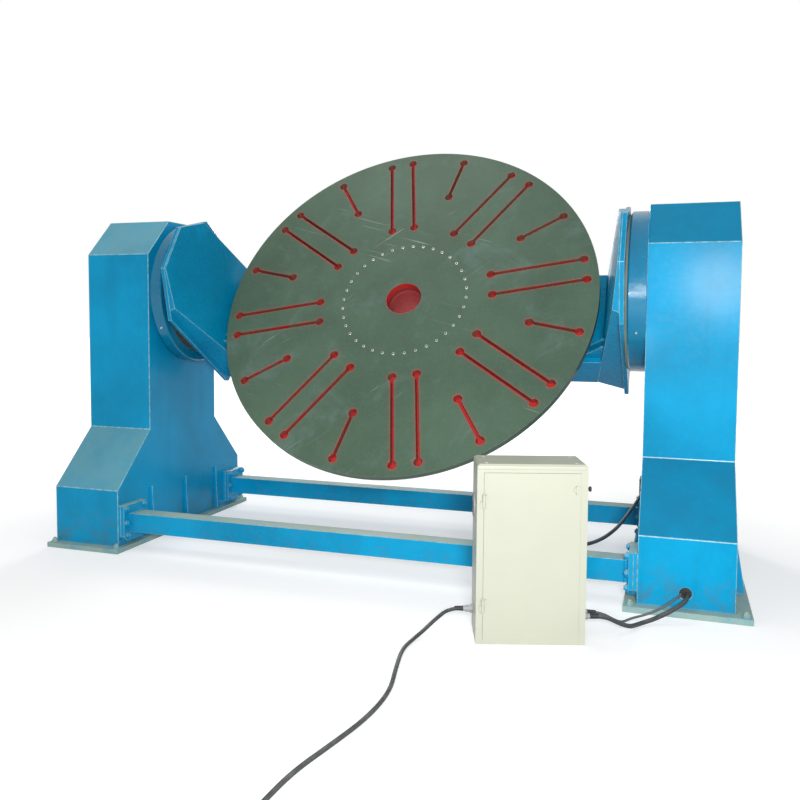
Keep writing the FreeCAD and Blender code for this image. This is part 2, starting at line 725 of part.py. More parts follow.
# The pinion is half a tooth out of step with the ring, so that a tooth of
# one stands in a space of the other.
pinion = body("turn_pinion")
pinion_low = "-(%s)" % (RING_LOW + " - ring_step")
pad(pinion, circle(sketch(pinion, "XY", pinion_low), "0", "0", "gear_m * (pinion_n - 2.4)"), "pinion_h")
half_step = "180 + 180 / pinion_n"
pinion_tooth = pad(pinion, tooth(sketch(pinion, "XY", pinion_low, half_step), "pinion_n", "1.2", "0.9"),
                   "pinion_h")
round_pattern(pinion, [pinion_tooth], "pinion_n")
pad(pinion, circle(sketch(pinion, "XY", pinion_low + " + 2"), "0", "0", "shaft_d"),
    "end_rear + reducer_pad + 0.6 * reducer_h + 2 + " + pinion_low, reverse=True)
place(pinion, "cradle", PINION_X)

# reducer behind the cross box with the motor lying along the box
reducer = body("turn_reducer")
pad(reducer, block(sketch(reducer, "XY", "-end_rear"), PINION_X + " - reducer_w / 2 - 20",
                   PINION_X + " + reducer_w / 2 + 20", "-reducer_w / 2 - 20", "reducer_w / 2 + 20"),
    "reducer_pad", reverse=True)
pad(reducer, block(sketch(reducer, "XY", "-end_rear - reducer_pad"), PINION_X + " - reducer_w / 2",
                   PINION_X + " + reducer_w / 2", "-reducer_w / 2", "reducer_w / 2"),
    "reducer_h", reverse=True)
pocket(reducer, circle(sketch(reducer, "XY", "-end_rear"), PINION_X, "0", "shaft_d + 2 * fit"),
       "reducer_pad + 0.6 * reducer_h + run_gap")
place(reducer, "cradle")
motor = body("turn_motor")
motor_end = PINION_X + " - reducer_w / 2"
middle_z = "-end_rear - reducer_pad - reducer_h / 2"
pad(motor, circle(sketch(motor, "YZ", motor_end), "0", middle_z, "0.8 * motor_d"), "18", reverse=True)
pad(motor, circle(sketch(motor, "YZ", motor_end + " - 18"), "0", middle_z, "motor_d"),
    "motor_len - cowl_len", reverse=True)
pad(motor, block(sketch(motor, "YZ", motor_end + " - 90"), "-0.3 * motor_d", "0.3 * motor_d",
                 middle_z + " - 0.68 * motor_d", middle_z), "120", reverse=True)
place(motor, "cradle")
cowl = body("turn_motor_cowl")
pad(cowl, circle(sketch(cowl, "YZ", motor_end + " - 18 - motor_len + cowl_len"), "0", middle_z,
                 "motor_d + 12"), "cowl_len", reverse=True)
place(cowl, "cradle")

# ---------------------------------------------------------------- turntable
face = body("slotted_faceplate")
pad(face, circle(circle(sketch(face, "XY", "face_z"), "0", "0", "table_d"), "0", "0", "bore_d"),
    "table_t", reverse=True)


def slot_cut(y, inner, outer):
    """Straight slot along +X between two end holes."""
    outline = block(sketch(face, "XY", "face_z", "pattern_angle + " + y[1]), inner, outer,
                    y[0] + " - slot_w / 2", y[0] + " + slot_w / 2")
    return pocket(face, outline, "table_t + 1")


def end_holes(y, inner, outer):
    outline = sketch(face, "XY", "face_z", "pattern_angle + " + y[1])
    circle(circle(outline, inner, y[0], "end_hole"), outer, y[0], "end_hole")
    return pocket(face, outline, "table_t + 1")


SLOT_OUT = "(table_d / 2 - slot_edge)"
slots = []
for lane, run in ((("pair_pitch / 2", "0"), "slot_run"), (("-pair_pitch / 2", "0"), "slot_run"),
                  (("0", "180 / star"), "single_run")):
    slots.append(end_holes(lane, SLOT_OUT + " - " + run, SLOT_OUT))
    slots.append(slot_cut(lane, SLOT_OUT + " - " + run, SLOT_OUT))
round_pattern(face, slots, "star")
place(face, "cradle")

# ---------------------------------------------------------- control cabinet
CASE_TOP = "(cab_h - cap_t)"
HINGE_X = "(door_side + door_play / 2)"
HINGE_Y = "(0 - door_proud - knuckle_d / 2)"

carcass = body("cabinet_carcass")
pad(carcass, block(sketch(carcass, "XY"), "0", "cab_w", "0", "cab_d"), CASE_TOP)
pocket(carcass, block(sketch(carcass, "XY", "cab_wall"), "cab_wall", "cab_w - cab_wall",
                      "cab_wall", "cab_d - cab_wall"), CASE_TOP + " - 2 * cab_wall", reverse=True)
pocket(carcass, block(sketch(carcass, "XZ"), "door_side", "cab_w - door_side", "door_low", "door_high"),
       "cab_wall + 1")
for lift in ("hinge_low", "hinge_low + hinge_pitch"):
    pad(carcass, block(sketch(carcass, "XY", lift), HINGE_X + " - knuckle_d", HINGE_X, HINGE_Y, "0"),
        "knuckle_h")
    pad(carcass, circle(sketch(carcass, "XY", lift), HINGE_X, HINGE_Y, "knuckle_d"), "knuckle_h")
    pad(carcass, circle(sketch(carcass, "XY", lift + " + knuckle_h"), HINGE_X, HINGE_Y, "pin_d"),
        "knuckle_h + run_gap + 2")
place(carcass, "cabinet")

cap = body("cabinet_cap")
lid = pad(cap, block(sketch(cap, "XY", CASE_TOP), "0", "cab_w", "0", "cab_d"), "cap_t")
doc.recompute()
rim = [i for i, edge in enumerate(lid.Shape.Edges, start=1)
       if abs(edge.CenterOfMass.z - number("cab_h")) < 0.01]
bevel = cap.newObject("PartDesign::Chamfer", "cap_edge")
bevel.Base = (lid, ["Edge%d" % i for i in rim])
bind(bevel, Size="cap_bevel")
place(cap, "cabinet")

LATCH_X = "(cab_w - door_side - door_play - latch_in)"
door = body("cabinet_door")
pad(door, block(sketch(door, "XZ", "door_proud"), "door_side + door_play", "cab_w - door_side - door_play",
                "door_low + door_play", "door_high - door_play"), "door_t", reverse=True)
for lift in ("hinge_low", "hinge_low + hinge_pitch"):
    low = lift + " + knuckle_h + run_gap"
    pad(door, block(sketch(door, "XY", low), HINGE_X, HINGE_X + " + knuckle_d", HINGE_Y, "-door_proud"),
        "knuckle_h")
    pad(door, circle(sketch(door, "XY", low), HINGE_X, HINGE_Y, "knuckle_d"), "knuckle_h")
    pocket(door, circle(sketch(door, "XY", low), HINGE_X, HINGE_Y, "pin_d + 2 * fit"), "knuckle_h + 4",
           reverse=True)
pocket(door, circle(sketch(door, "XZ"), LATCH_X, "latch_z", "spindle_d + 2 * fit"))
place(door, "cabinet")

latch = body("door_latch")
LATCH_FACE = "door_proud + run_gap"
pad(latch, circle(sketch(latch, "XZ", LATCH_FACE), LATCH_X, "latch_z", "knob_d"), "0.5 * knob_t")
pad(latch, block(sketch(latch, "XZ", LATCH_FACE + " + 0.5 * knob_t"), LATCH_X + " - 5", LATCH_X + " + 5",
                 "latch_z - knob_d / 2 - 4", "latch_z + knob_d / 2 + 4"), "0.5 * knob_t")
pad(latch, circle(sketch(latch, "XZ", LATCH_FACE), LATCH_X, "latch_z", "spindle_d"),
    "door_t + 2 * run_gap + 4", reverse=True)
pad(latch, block(sketch(latch, "XZ", "door_proud - door_t - run_gap"), LATCH_X + " - 8", LATCH_X + " + 8",
                 "latch_z - cam_len", "latch_z + 8"), "4", reverse=True)
place(latch, "cabinet")

# mounting plate on four spacers, with the inverters and the contactors
TRAY_FRONT = "(cab_d - cab_wall - tray_gap - tray_t)"
tray = body("cabinet_mounting_plate")
pad(tray, block(sketch(tray, "XZ", "0 - " + TRAY_FRONT), "tray_edge", "cab_w - tray_edge",
                "tray_edge", CASE_TOP + " - tray_edge"), "tray_t", reverse=True)
posts = sketch(tray, "XZ", "0 - %s - tray_t" % TRAY_FRONT)
for x in ("tray_edge + post_in", "cab_w - tray_edge - post_in"):
    for z in ("tray_edge + post_in", CASE_TOP + " - tray_edge - post_in"):
        circle(posts, x, z, "post_d")
pad(tray, posts, "tray_gap", reverse=True)
place(tray, "cabinet")
inverters = body("cabinet_inverters")
for x in ("cab_w / 2 - inverter_gap / 2 - inverter_w", "cab_w / 2 + inverter_gap / 2"):
    side = x + " + (inverter_w - panel_w) / 2"
    pad(inverters, block(sketch(inverters, "XZ", "0 - " + TRAY_FRONT), x, x + " + inverter_w",
                         "inverter_z", "inverter_z + inverter_h"), "inverter_d")
    pad(inverters, block(sketch(inverters, "XZ", "inverter_d - " + TRAY_FRONT), side, side + " + panel_w",
                         "inverter_z + 0.62 * inverter_h", "inverter_z + 0.9 * inverter_h"), "panel_t")
place(inverters, "cabinet")
contactors = body("cabinet_contactors")
first = pad(contactors, block(sketch(contactors, "XZ", "0 - " + TRAY_FRONT), "tray_edge + 2 * post_in",
                              "tray_edge + 2 * post_in + switch_w", "switch_z", "switch_z + switch_h"),
            "switch_d")
row_pattern(contactors, [first], "X", 7, "cab_w - 2 * tray_edge - 4 * post_in - switch_w")
pad(contactors, block(sketch(contactors, "XZ", "0 - " + TRAY_FRONT), "tray_edge + 1.5 * post_in",
                      "cab_w - tray_edge - 1.5 * post_in", "switch_z + 0.35 * switch_h",
                      "switch_z + 0.65 * switch_h"), "rail_t")
pad(contactors, block(sketch(contactors, "XZ", "0 - " + TRAY_FRONT), "tray_edge + 2 * post_in",
                      "cab_w - tray_edge - 2 * post_in", "terminal_z", "terminal_z + terminal_h"),
    "terminal_d")
place(contactors, "cabinet")

# round louvre on the left side
grille = body("cabinet_side_louvre")
pad(grille, circle(sketch(grille, "YZ"), "grille_y", "grille_z", "grille_d"), "grille_t", reverse=True)
slit = pocket(grille, block(sketch(grille, "YZ", "-grille_t"), "grille_y - 0.3 * grille_d",
                            "grille_y + 0.3 * grille_d", "grille_z - 0.3 * grille_d",
                            "grille_z - 0.3 * grille_d + 9"), "0.6 * grille_t", reverse=True)
row_pattern(grille, [slit], "Z", 4, "0.51 * grille_d")
place(grille, "cabinet")


# ------------------------------------------------------- glands and cables
def gland(owner, plane, lift, u, v, out, scale="1"):
    """Cable gland standing on a wall; out is 1 along the plane's normal and -1 against it."""
    wide = "gland_d * " + scale
    for outline, long in ((hexagon(sketch(owner, plane, lift), u, v, "0.9 * " + wide), "0.3 * gland_len"),
                          (circle(sketch(owner, plane, lift), u, v, "0.8 * " + wide), "0.75 * gland_len"),
                          (circle(sketch(owner, plane, lift), u, v, "0.66 * " + wide), "gland_len")):
        pad(owner, outline, long, reverse=out < 0)


glands = body("cabinet_cable_glands")
gland(glands, "YZ", "0", "mains_y", "mains_z", -1)
gland(glands, "XZ", "-cab_d", "cab_w - cradle_gland_in", "cradle_gland_z", -1)
gland(glands, "YZ", "cab_w", "drive_gland_y", "drive_gland_z", 1)
gland(glands, "YZ", "cab_w", "drive_gland_y + drive_gland_pitch", "drive_gland_z", 1, "0.8")
place(glands, "cabinet")

JUNCTION_Y = "(foot_depth / 2 - junction_back)"
junction = body("column_junction_box")
pad(junction, block(sketch(junction, "YZ", INNER), JUNCTION_Y, JUNCTION_Y + " + junction_len",
                    "junction_low", "junction_low + junction_h"), "junction_t", reverse=True)
gland(junction, "XZ", "0 - " + JUNCTION_Y, INNER + " - junction_t / 2", "junction_low + junction_h / 2",
      1, "0.9")
place(junction, "stand")


def spot(x, y, z):
    return FreeCAD.Vector(number(x), number(y), number(z))


def from_cabinet(x, y, z):
    """A point of the cabinet's frame in the stand's frame."""
    turn = FreeCAD.Rotation(FreeCAD.Vector(0, 0, 1), number("cab_angle"))
    return spot("cab_x", "cab_y", "0") + turn.multVec(spot(x, y, z))


def cord_path(points):
    """Straight runs joined by tangent arcs, each as large as its two runs allow."""
    edges = []
    radii = []
    here = points[0]
    for before, corner, after in zip(points, points[1:], points[2:]):
        back = before - corner
        onward = after - corner
        half = (math.pi - back.getAngle(onward)) / 2
        reach = 0.45 * min(back.Length, onward.Length)
        radii.append(reach / math.tan(half))
        start = corner + FreeCAD.Vector(back).normalize() * reach
        end = corner + FreeCAD.Vector(onward).normalize() * reach
        inward = (FreeCAD.Vector(back).normalize() + FreeCAD.Vector(onward).normalize()).normalize()
        middle = corner + inward * (radii[-1] * (1 / math.cos(half) - 1))
        edges.append(Part.LineSegment(here, start).toShape())
        edges.append(Part.Arc(start, middle, end).toShape())
        here = end
    edges.append(Part.LineSegment(here, points[-1]).toShape())
    return Part.Wire(edges), radii


def cord(label, diameter, *routes):
    """Round cable along one or more separate stretches."""
    wide = number(diameter)
    tubes = []
    for points in routes:
        path, radii = cord_path(points)
        ring = Part.Wire([Part.makeCircle(wide / 2, points[0], points[1] - points[0])])
        tubes.append(path.makePipeShell([ring], True, False))
        section = math.pi * wide * wide / 4
        print("%s: %.0f mm long, volume %.4f of section by length, radii %s" % (
            label, path.Length, tubes[-1].Volume / section / path.Length,
            " ".join("%.0f" % r for r in radii)))
    made = doc.addObject("Part::Feature", label)
    made.Label = label
    made.Shape = tubes[0] if len(tubes) == 1 else Part.Compound(tubes)
    place(made, "stand")


mains_end = from_cabinet("0 - gland_len", "mains_y", "mains_z")
mains_lead = from_cabinet("0 - gland_len - 66", "mains_y", "mains_z")
FLOOR = number("mains_d") / 2 + 0.5
coil_mid = spot("coil_x", "coil_y", "0")
turn_r = number("coil_d / 2 + mains_d / 2")
mains_route = [mains_end, mains_lead] + [FreeCAD.Vector(*p) for p in (
    (690, -1386, 76), (646, -1450, 38), (624, -1530, FLOOR), (612, -1650, FLOOR), (650, -1850, FLOOR),
    (700, -2070, FLOOR), (690, -2300, FLOOR), (640, -2520, FLOOR), (592, -2710, FLOOR))]
mains_route += [coil_mid + FreeCAD.Vector(-turn_r - 3, 160, FLOOR), coil_mid + FreeCAD.Vector(-turn_r, 0, FLOOR)]

coil = body("mains_coil")
turned(coil, "XZ", "V_Axis",
       ("coil_d / 2 - coil_a / 2", "0"), ("coil_d / 2 + coil_a / 2", "0"),
       ("coil_d / 2 + coil_a / 2", "coil_a"), ("coil_d / 2 - coil_a / 2", "coil_a"))
place(coil, "stand", "coil_x", "coil_y")

PLUG_Z = "(plug_d / 2 + 1)"
tail_z = number("coil_a - mains_d / 2 - 1")
plug_at = coil_mid + FreeCAD.Vector(turn_r + 18, -190, number(PLUG_Z))
tail_route = [coil_mid + FreeCAD.Vector(turn_r, 0, tail_z),
              coil_mid + FreeCAD.Vector(turn_r + 2, -48, tail_z + 1),
              coil_mid + FreeCAD.Vector(turn_r + 16, -112, tail_z + 3),
              plug_at + FreeCAD.Vector(0, 40, 0), plug_at]
cord("mains_cable", "mains_d", mains_route, tail_route)
plug = body("mains_plug")
turned(plug, "XZ", "V_Axis",
       ("0", "0"), ("0.75 * mains_d", "0"), ("0.42 * plug_d", "40"), ("0.42 * plug_d", "96"),
       ("plug_d / 2", "100"), ("plug_d / 2", "plug_len"), ("0", "plug_len"))
plug.Placement = FreeCAD.Placement(FreeCAD.Vector(), FreeCAD.Rotation(FreeCAD.Vector(1, 0, 0), 90))
bind(plug, Placement__Base__x="datum_x + coil_x + coil_d / 2 + mains_d / 2 + 18",
     Placement__Base__y="datum_y + coil_y - 190", Placement__Base__z=PLUG_Z)
NODES.append(plug)

cradle_start = from_cabinet("cab_w - cradle_gland_in", "cab_d + gland_len", "cradle_gland_z")
cradle_lead = from_cabinet("cab_w - cradle_gland_in", "cab_d + gland_len + 90", "cradle_gland_z")
cradle_end = spot(INNER + " - junction_t / 2", JUNCTION_Y + " - gland_len", "junction_low + junction_h / 2")
cord("cradle_cable", "cradle_cable_d", [cradle_start, cradle_lead] + [FreeCAD.Vector(*p) for p in (
    (1262, -815, 346), (1372, -640, 340), (1452, -390, 352), (1506, -110, 376), (1548, 140, 390))] +
    [cradle_end - FreeCAD.Vector(0, 120, 0), cradle_end])

grommet_face = "grommet_sink - foot_depth / 2"
drive_start = spot(INNER + " + column_w / 2 + feed_pitch / 2 - 6", grommet_face, "feed_z - 5")
drive_end = from_cabinet("cab_w + gland_len", "drive_gland_y", "drive_gland_z")
drive_lead = from_cabinet("cab_w + gland_len + 72", "drive_gland_y", "drive_gland_z")
cord("drive_cable", "drive_cable_d", [drive_start, drive_start - FreeCAD.Vector(0, 84, 0)] +
     [FreeCAD.Vector(*p) for p in ((1780, -898, 80), (1690, -927, 28), (1602, -1000, 12),
                                   (1565, -1084, 24), (1511, -1126, 54))] + [drive_lead, drive_end])

sensor_start = spot(INNER + " + column_w / 2 - feed_pitch / 2 - 4", grommet_face, "feed_z + 8")
sensor_end = from_cabinet("cab_w + gland_len", "drive_gland_y + drive_gland_pitch", "drive_gland_z")
sensor_lead = from_cabinet("cab_w + gland_len + 60", "drive_gland_y + drive_gland_pitch", "drive_gland_z")
cord("sensor_cable", "sensor_cable_d", [sensor_start, sensor_start - FreeCAD.Vector(0, 56, 0)] +
     [FreeCAD.Vector(*p) for p in ((1766, -850, 100), (1704, -876, 58), (1630, -888, 22), (1560, -920, 7),
                                   (1530, -980, 7), (1500, -1050, 34))] + [sensor_lead, sensor_end])

# ------------------------------------------------------------ check and write
doc.recompute()
for obj in doc.Objects:
    if "Invalid" in obj.State or "Error" in obj.State:
        raise RuntimeError("%s failed: %s" % (obj.Name, obj.State))
for node in NODES:
    if node.Shape.isNull() or not node.Shape.isValid():
        raise RuntimeError("%s has no valid shape" % node.Label)
os.makedirs("parts", exist_ok=True)
for node in NODES:
    node.Shape.exportStep("parts/%s.step" % node.Label)
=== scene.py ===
"""Looks of a head-and-tail welding positioner with a 2.5 m slotted turntable.

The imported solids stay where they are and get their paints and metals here.
Fasteners, welds, slot covers, seals, cables and the studio are added.
All lengths are in metres.
"""

import json
import math
import random

import bmesh
import bpy
from bpy.props import FloatProperty, FloatVectorProperty, IntProperty, PointerProperty
from mathutils import Matrix, Vector


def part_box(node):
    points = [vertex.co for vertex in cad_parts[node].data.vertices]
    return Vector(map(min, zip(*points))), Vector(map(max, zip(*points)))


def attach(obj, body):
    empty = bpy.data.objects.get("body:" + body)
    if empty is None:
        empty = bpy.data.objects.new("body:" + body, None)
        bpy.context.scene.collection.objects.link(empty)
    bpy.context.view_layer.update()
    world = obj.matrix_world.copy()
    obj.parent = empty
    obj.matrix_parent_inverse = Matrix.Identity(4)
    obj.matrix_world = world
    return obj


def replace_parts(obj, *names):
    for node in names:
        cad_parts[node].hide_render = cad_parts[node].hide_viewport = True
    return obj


bl_info = {
    "name": "Welding positioner",
    "version": (1, 0, 0),
    "blender": (4, 5, 0),
    "location": "3D View > Sidebar > Positioner",
    "description": "Finishes, small parts, cables and studio of a tilting welding turntable",
    "category": "Object",
}

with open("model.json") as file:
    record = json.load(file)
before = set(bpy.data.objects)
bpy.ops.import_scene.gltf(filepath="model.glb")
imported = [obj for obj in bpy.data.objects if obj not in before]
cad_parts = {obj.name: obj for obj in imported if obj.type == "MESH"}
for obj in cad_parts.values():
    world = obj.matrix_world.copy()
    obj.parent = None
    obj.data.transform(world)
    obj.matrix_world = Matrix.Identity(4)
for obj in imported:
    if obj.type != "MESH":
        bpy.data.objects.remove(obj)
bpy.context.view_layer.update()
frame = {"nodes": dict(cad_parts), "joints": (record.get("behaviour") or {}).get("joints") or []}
JOINTS = {joint["name"]: joint for joint in frame["joints"]}
UP, LEFT, RIGHT, FRONT, REAR = (Vector(v) for v in ((0, 0, 1), (-1, 0, 0), (1, 0, 0), (0, -1, 0),
                                                    (0, 1, 0)))


# ------------------------------------------------------------ user settings
def colour(name, description, rgb):
    return FloatVectorProperty(name=name, description=description, default=rgb, size=3,
                               min=0, max=1, subtype="COLOR")


def length(name, description, metres):
    return FloatProperty(name=name, description=description, default=metres, min=0, unit="LENGTH")


class PositionerFinishes(bpy.types.PropertyGroup):
    blue: colour("Column blue", "Paint of columns, cradle and tie beams", (0.001, 0.325, 0.6))
    # lighter blue of the rounded edges: thin paint and a painted highlight
    edge_highlight_blue: colour("Edge blue", "Thin paint on folds and edges", (0.3, 0.62, 0.74))
    dust: colour("Shop dust", "Dust that lies on level faces", (0.4, 0.5, 0.4))
    table: colour("Table green", "Satin paint of the turntable", (0.078, 0.131, 0.09))
    primer: colour("Red primer", "Primer in slots and bore", (0.56, 0.022, 0.022))
    cream: colour("Cabinet cream", "Powder coat of the control cabinet", (0.5, 0.518, 0.42))
    steel: colour("Ground steel", "Bare machined steel", (0.52, 0.53, 0.54))
    zinc: colour("Zinc", "Plated fasteners", (0.66, 0.67, 0.66))
    grease: colour("Grease", "Used bearing grease", (0.055, 0.035, 0.018))
    seal: colour("Seal", "Felt seal of the drive end", (0.22, 0.22, 0.15))
    rubber: colour("Cable sheath", "Sheath of the cables", (0.035, 0.04, 0.04))


class PositionerSizes(bpy.types.PropertyGroup):
    edge: length("Edge rounding", "Rounding of plate edges", 0.004)
    sheet_edge: length("Sheet edge", "Rounding of the cabinet's edges", 0.0018)
    bead: length("Weld leg", "Width of a fillet weld", 0.009)
    screw: length("Ring screw", "Head diameter of the ring screws", 0.019)
    screw_ring: length("Ring screw circle", "Radius of the ring screws' circle", 0.4185)
    screw_places: IntProperty(name="Ring screw places", description="Even steps round the circle",
                              default=36, min=6, max=72)
    boot: length("Strain relief", "Length of a cable's tapered sleeve", 0.042)


class PositionerStudio(bpy.types.PropertyGroup):
    key: FloatProperty(name="Key lamp", description="Power of the lamp by the camera",
                       default=205, min=0, unit="POWER")
    fill: FloatProperty(name="Fill", description="Brightness of the surrounding light",
                        default=0.37, min=0, subtype="FACTOR", max=2)
    lens: FloatProperty(name="Lens", description="Focal length for a 36 mm sensor", default=36.86,
                        min=10, unit="CAMERA")


# ------------------------------------------------------------ shader maths
class Wire:
    """An output socket in an expression; each operator adds one node."""

    def __init__(self, paint, socket):
        self.paint = paint
        self.socket = socket

    def maths(self, operation, *values):
        return self.paint.node("ShaderNodeMath", {"operation": operation}, dict(enumerate(values)))

    def __add__(self, other):
        return self.maths("ADD", self, other)

    def __radd__(self, other):
        return self.maths("ADD", other, self)

    def __sub__(self, other):
        return self.maths("SUBTRACT", self, other)

    def __rsub__(self, other):
        return self.maths("SUBTRACT", other, self)

    def __mul__(self, other):
        return self.maths("MULTIPLY", self, other)

    def __rmul__(self, other):
        return self.maths("MULTIPLY", other, self)

    def __pow__(self, other):
        return self.maths("POWER", self, other)

    def __abs__(self):
        return self.maths("ABSOLUTE", self)


class Nodes:
    """A node tree that is built from expressions."""

    def __init__(self, tree):
        self.tree = tree

    def put(self, target, key, value):
        socket = target.inputs[key]
        if isinstance(value, Wire):
            self.tree.links.new(value.socket, socket)
        elif hasattr(value, "__len__") and len(socket.default_value) == 4:
            socket.default_value = (*value[:3], 1)
        else:
            socket.default_value = value

    def node(self, kind, settings=None, sockets=None, out=0):
        """Any node: its type, its settings, then the values or links of its sockets.

        out is the output that is wanted, or a tuple of several.
        """
        made = self.tree.nodes.new(kind)
        for key, value in (settings or {}).items():
            setattr(made, key, value)
        for key, value in (sockets or {}).items():
            self.put(made, key, value)
        if isinstance(out, tuple):
            return [Wire(self, made.outputs[one]) for one in out]
        return Wire(self, made.outputs[out])

    def seen(self):
        """1 where a camera, a gloss or a transparency looks, 0 for the light itself."""
        camera, gloss, through = self.node(
            "ShaderNodeLightPath", out=("Is Camera Ray", "Is Glossy Ray", "Is Transmission Ray"))
        return camera.maths("MAXIMUM", camera, gloss.maths("MAXIMUM", gloss, through))

    def step(self, value, low, high, start=0.0, end=1.0):
        """Smooth step from start to end while value goes from low to high."""
        return self.node("ShaderNodeMapRange", {"interpolation_type": "SMOOTHSTEP"},
                         {0: value, 1: low, 2: high, 3: start, 4: end})


class Paint(Nodes):
    """A node material.  Constant values go straight to the shader's sockets."""

    def __init__(self, name, **constants):
        self.material = bpy.data.materials.new(name)
        self.material.use_nodes = True
        super().__init__(self.material.node_tree)
        self.shader = self.tree.nodes["Principled BSDF"]
        for key, value in constants.items():
            self.put(self.shader, key.replace("_", " "), value)
        self.place, self.facing = self.node("ShaderNodeTexCoord", out=("Object", "Normal"))

    def axes(self, vector):
        return self.node("ShaderNodeSeparateXYZ", sockets={0: vector}, out=("X", "Y", "Z"))

    def vector(self, operation, one, other=None, out=0):
        values = {0: one} if other is None else {0: one, 1: other}
        return self.node("ShaderNodeVectorMath", {"operation": operation}, values, out)

    def noise(self, scale, detail=3.0, rough=0.5, stretch=None, twist=0.0):
        at = self.vector("MULTIPLY", self.place, stretch) if stretch else self.place
        return self.node("ShaderNodeTexNoise", {}, {"Vector": at, "Scale": scale, "Detail": detail,
                                                    "Roughness": rough, "Distortion": twist})

    def mix(self, share, one, other):
        return self.node("ShaderNodeMix", {"data_type": "RGBA", "clamp_factor": True},
                         {0: share, 6: one, 7: other}, out=2)

    def layer(self, tone, pattern, low, high, over, most=1.0):
        """Lays the colour over on tone, from none at low in the pattern to most at high."""
        return self.mix(self.step(pattern, low, high, 0, most), tone, over)

    def bump(self, height, distance, strength=0.5):
        relief = self.node("ShaderNodeBump", {}, {"Height": height, "Distance": distance,
                                                  "Strength": strength})
        self.put(self.shader, "Normal", relief)

    def finish(self, tone, rough):
        self.put(self.shader, "Base Color", tone)
        self.put(self.shader, "Roughness", rough)
        return self.material


def tint(rgb, factor):
    return tuple(min(1.0, c * factor) for c in rgb)


# ------------------------------------------------------------ finishes
def blue_paint(name, base, dust, level, slope=0.0, floor_dirt=0.0, shade=1.0, gloss=0.34, film=None,
               shine=0.16):
    """Brushed enamel on plate: clouds, orange peel and dust on level faces; sloping faces get dust, unless a
    tone of painted light is given: painted shade where darker, painted reflection where paler; shade scales
    it all darker as painted shade.
    """
    paint = Paint(name, Specular_IOR_Level=shine, Coat_Weight=0.04, Coat_Roughness=0.15)
    cloud = paint.noise(1.7, 4, 0.55)
    grain = paint.noise(38, 5, 0.65)
    streak = paint.noise(9, 4, 0.6, stretch=(1, 1, 0.08))
    # shade below 1 darkens the whole paint, a painted shade
    tone = paint.layer(tint(base, 0.8 * shade), cloud, 0.3, 0.72, tint(base, 1.12 * shade))
    tone = paint.layer(tone, streak, 0.52, 0.78, tint(base, 0.66 * shade), 0.28)
    tone = paint.layer(tone, grain, 0.5, 0.8, tint(base, 1.5 * shade), 0.26)
    z = paint.axes(paint.place)[2]
    up = paint.axes(paint.facing)[2]
    patch = paint.step(paint.noise(5.5, 6, 0.62), 0.3, 0.62, 0.72, 1.0)
    lying = paint.step(up, 0.8, 0.97, 0, level) * patch
    # Sloping faces get dust, unless a tone is given; that tone is painted light, a painted shade where
    # darker and a painted reflection where paler.
    if slope:
        slanted = paint.step(up, 0.25, 0.5, 0, slope) * paint.step(up, 0.86, 0.97, 1, 0) * patch
        tone = paint.mix(slanted, tone, film or dust)
    tone = paint.mix(lying, tone, dust)
    if floor_dirt:
        splash = paint.step(paint.noise(11, 6, 0.7), 0.42, 0.72, 0, floor_dirt)
        tone = paint.mix(paint.step(z, 0.02, 0.34, 1, 0) * splash, tone, (0.1, 0.14, 0.13))
    peel = paint.noise(210, 2, 0.5)
    paint.bump(peel * 0.6 + cloud * 4.0, 0.0006, 0.55)
    return paint.finish(tone, paint.step(grain, 0.3, 0.75, gloss - 0.06, gloss + 0.1) + lying * 0.34)


def deck_paint(name, base, dust):
    """Plate on the shop floor: dust and drips over thin blue paint, on its edges too."""
    paint = Paint(name, Specular_IOR_Level=0.15)
    patch = paint.noise(7.5, 6, 0.66)
    drip = paint.noise(26, 5, 0.7)
    up = paint.axes(paint.facing)[2]
    tone = paint.layer(tint(base, 0.85), drip, 0.4, 0.72, (0.045, 0.33, 0.45))
    cover = paint.step(patch, 0.24, 0.6, 0.55, 0.92) * paint.step(up, 0.0, 0.9, 0.86, 1.0)
    tone = paint.mix(cover, tone, dust)
    tone = paint.layer(tone, drip, 0.6, 0.8, (0.13, 0.16, 0.14), 0.4)
    paint.bump(drip + patch, 0.0008)
    return paint.finish(tone, paint.step(patch, 0.3, 0.7, 0.52, 0.78))


def plain_paint(name, base, gloss=0.45, grain=0.12, peel=0.0004, peel_scale=420, spots=0.1):
    """Even powder coat or moulded plastic with a fine skin."""
    paint = Paint(name, Specular_IOR_Level=0.45)
    cloud = paint.noise(3.1, 4, 0.6)
    fine = paint.noise(70, 4, 0.6)
    tone = paint.layer(tint(base, 1 - grain), cloud, 0.3, 0.7, tint(base, 1 + grain * 0.4))
    tone = paint.layer(tone, fine, 0.56, 0.8, tint(base, 0.72), spots)
    paint.bump(paint.noise(peel_scale, 2, 0.5), peel)
    return paint.finish(tone, paint.step(fine, 0.3, 0.7, gloss - 0.05, gloss + 0.08))


def bare_metal(name, base, gloss=0.32, stained=0.2, metal=1.0):
    """Machined steel with tool marks and stains."""
    paint = Paint(name, Metallic=metal)
    mark = paint.noise(160, 3, 0.6)
    cloud = paint.noise(6, 6, 0.65)
    tone = paint.layer(tint(base, 0.82), mark, 0.3, 0.7, tint(base, 1.12))
    tone = paint.layer(tone, cloud, 0.48, 0.74, (0.2, 0.14, 0.08), stained)
    paint.bump(mark, 0.0003)
    return paint.finish(tone, paint.step(mark, 0.3, 0.7, gloss - 0.08, gloss + 0.12))


def greased_metal(name, base, grease, amount):
    """Steel under smeared grease."""
    paint = Paint(name, Specular_IOR_Level=0.6)
    smear = paint.noise(14, 7, 0.68, twist=0.6)
    cover = paint.step(smear, 0.62 - amount * 0.35, 0.8 - amount * 0.3)
    paint.put(paint.shader, "Metallic", paint.step(cover, 0, 1, 0.85, 0.0))
    paint.bump(smear, 0.0016, 0.6)
    return paint.finish(paint.mix(cover, base, grease), paint.step(cover, 0, 1, 0.42, 0.26))


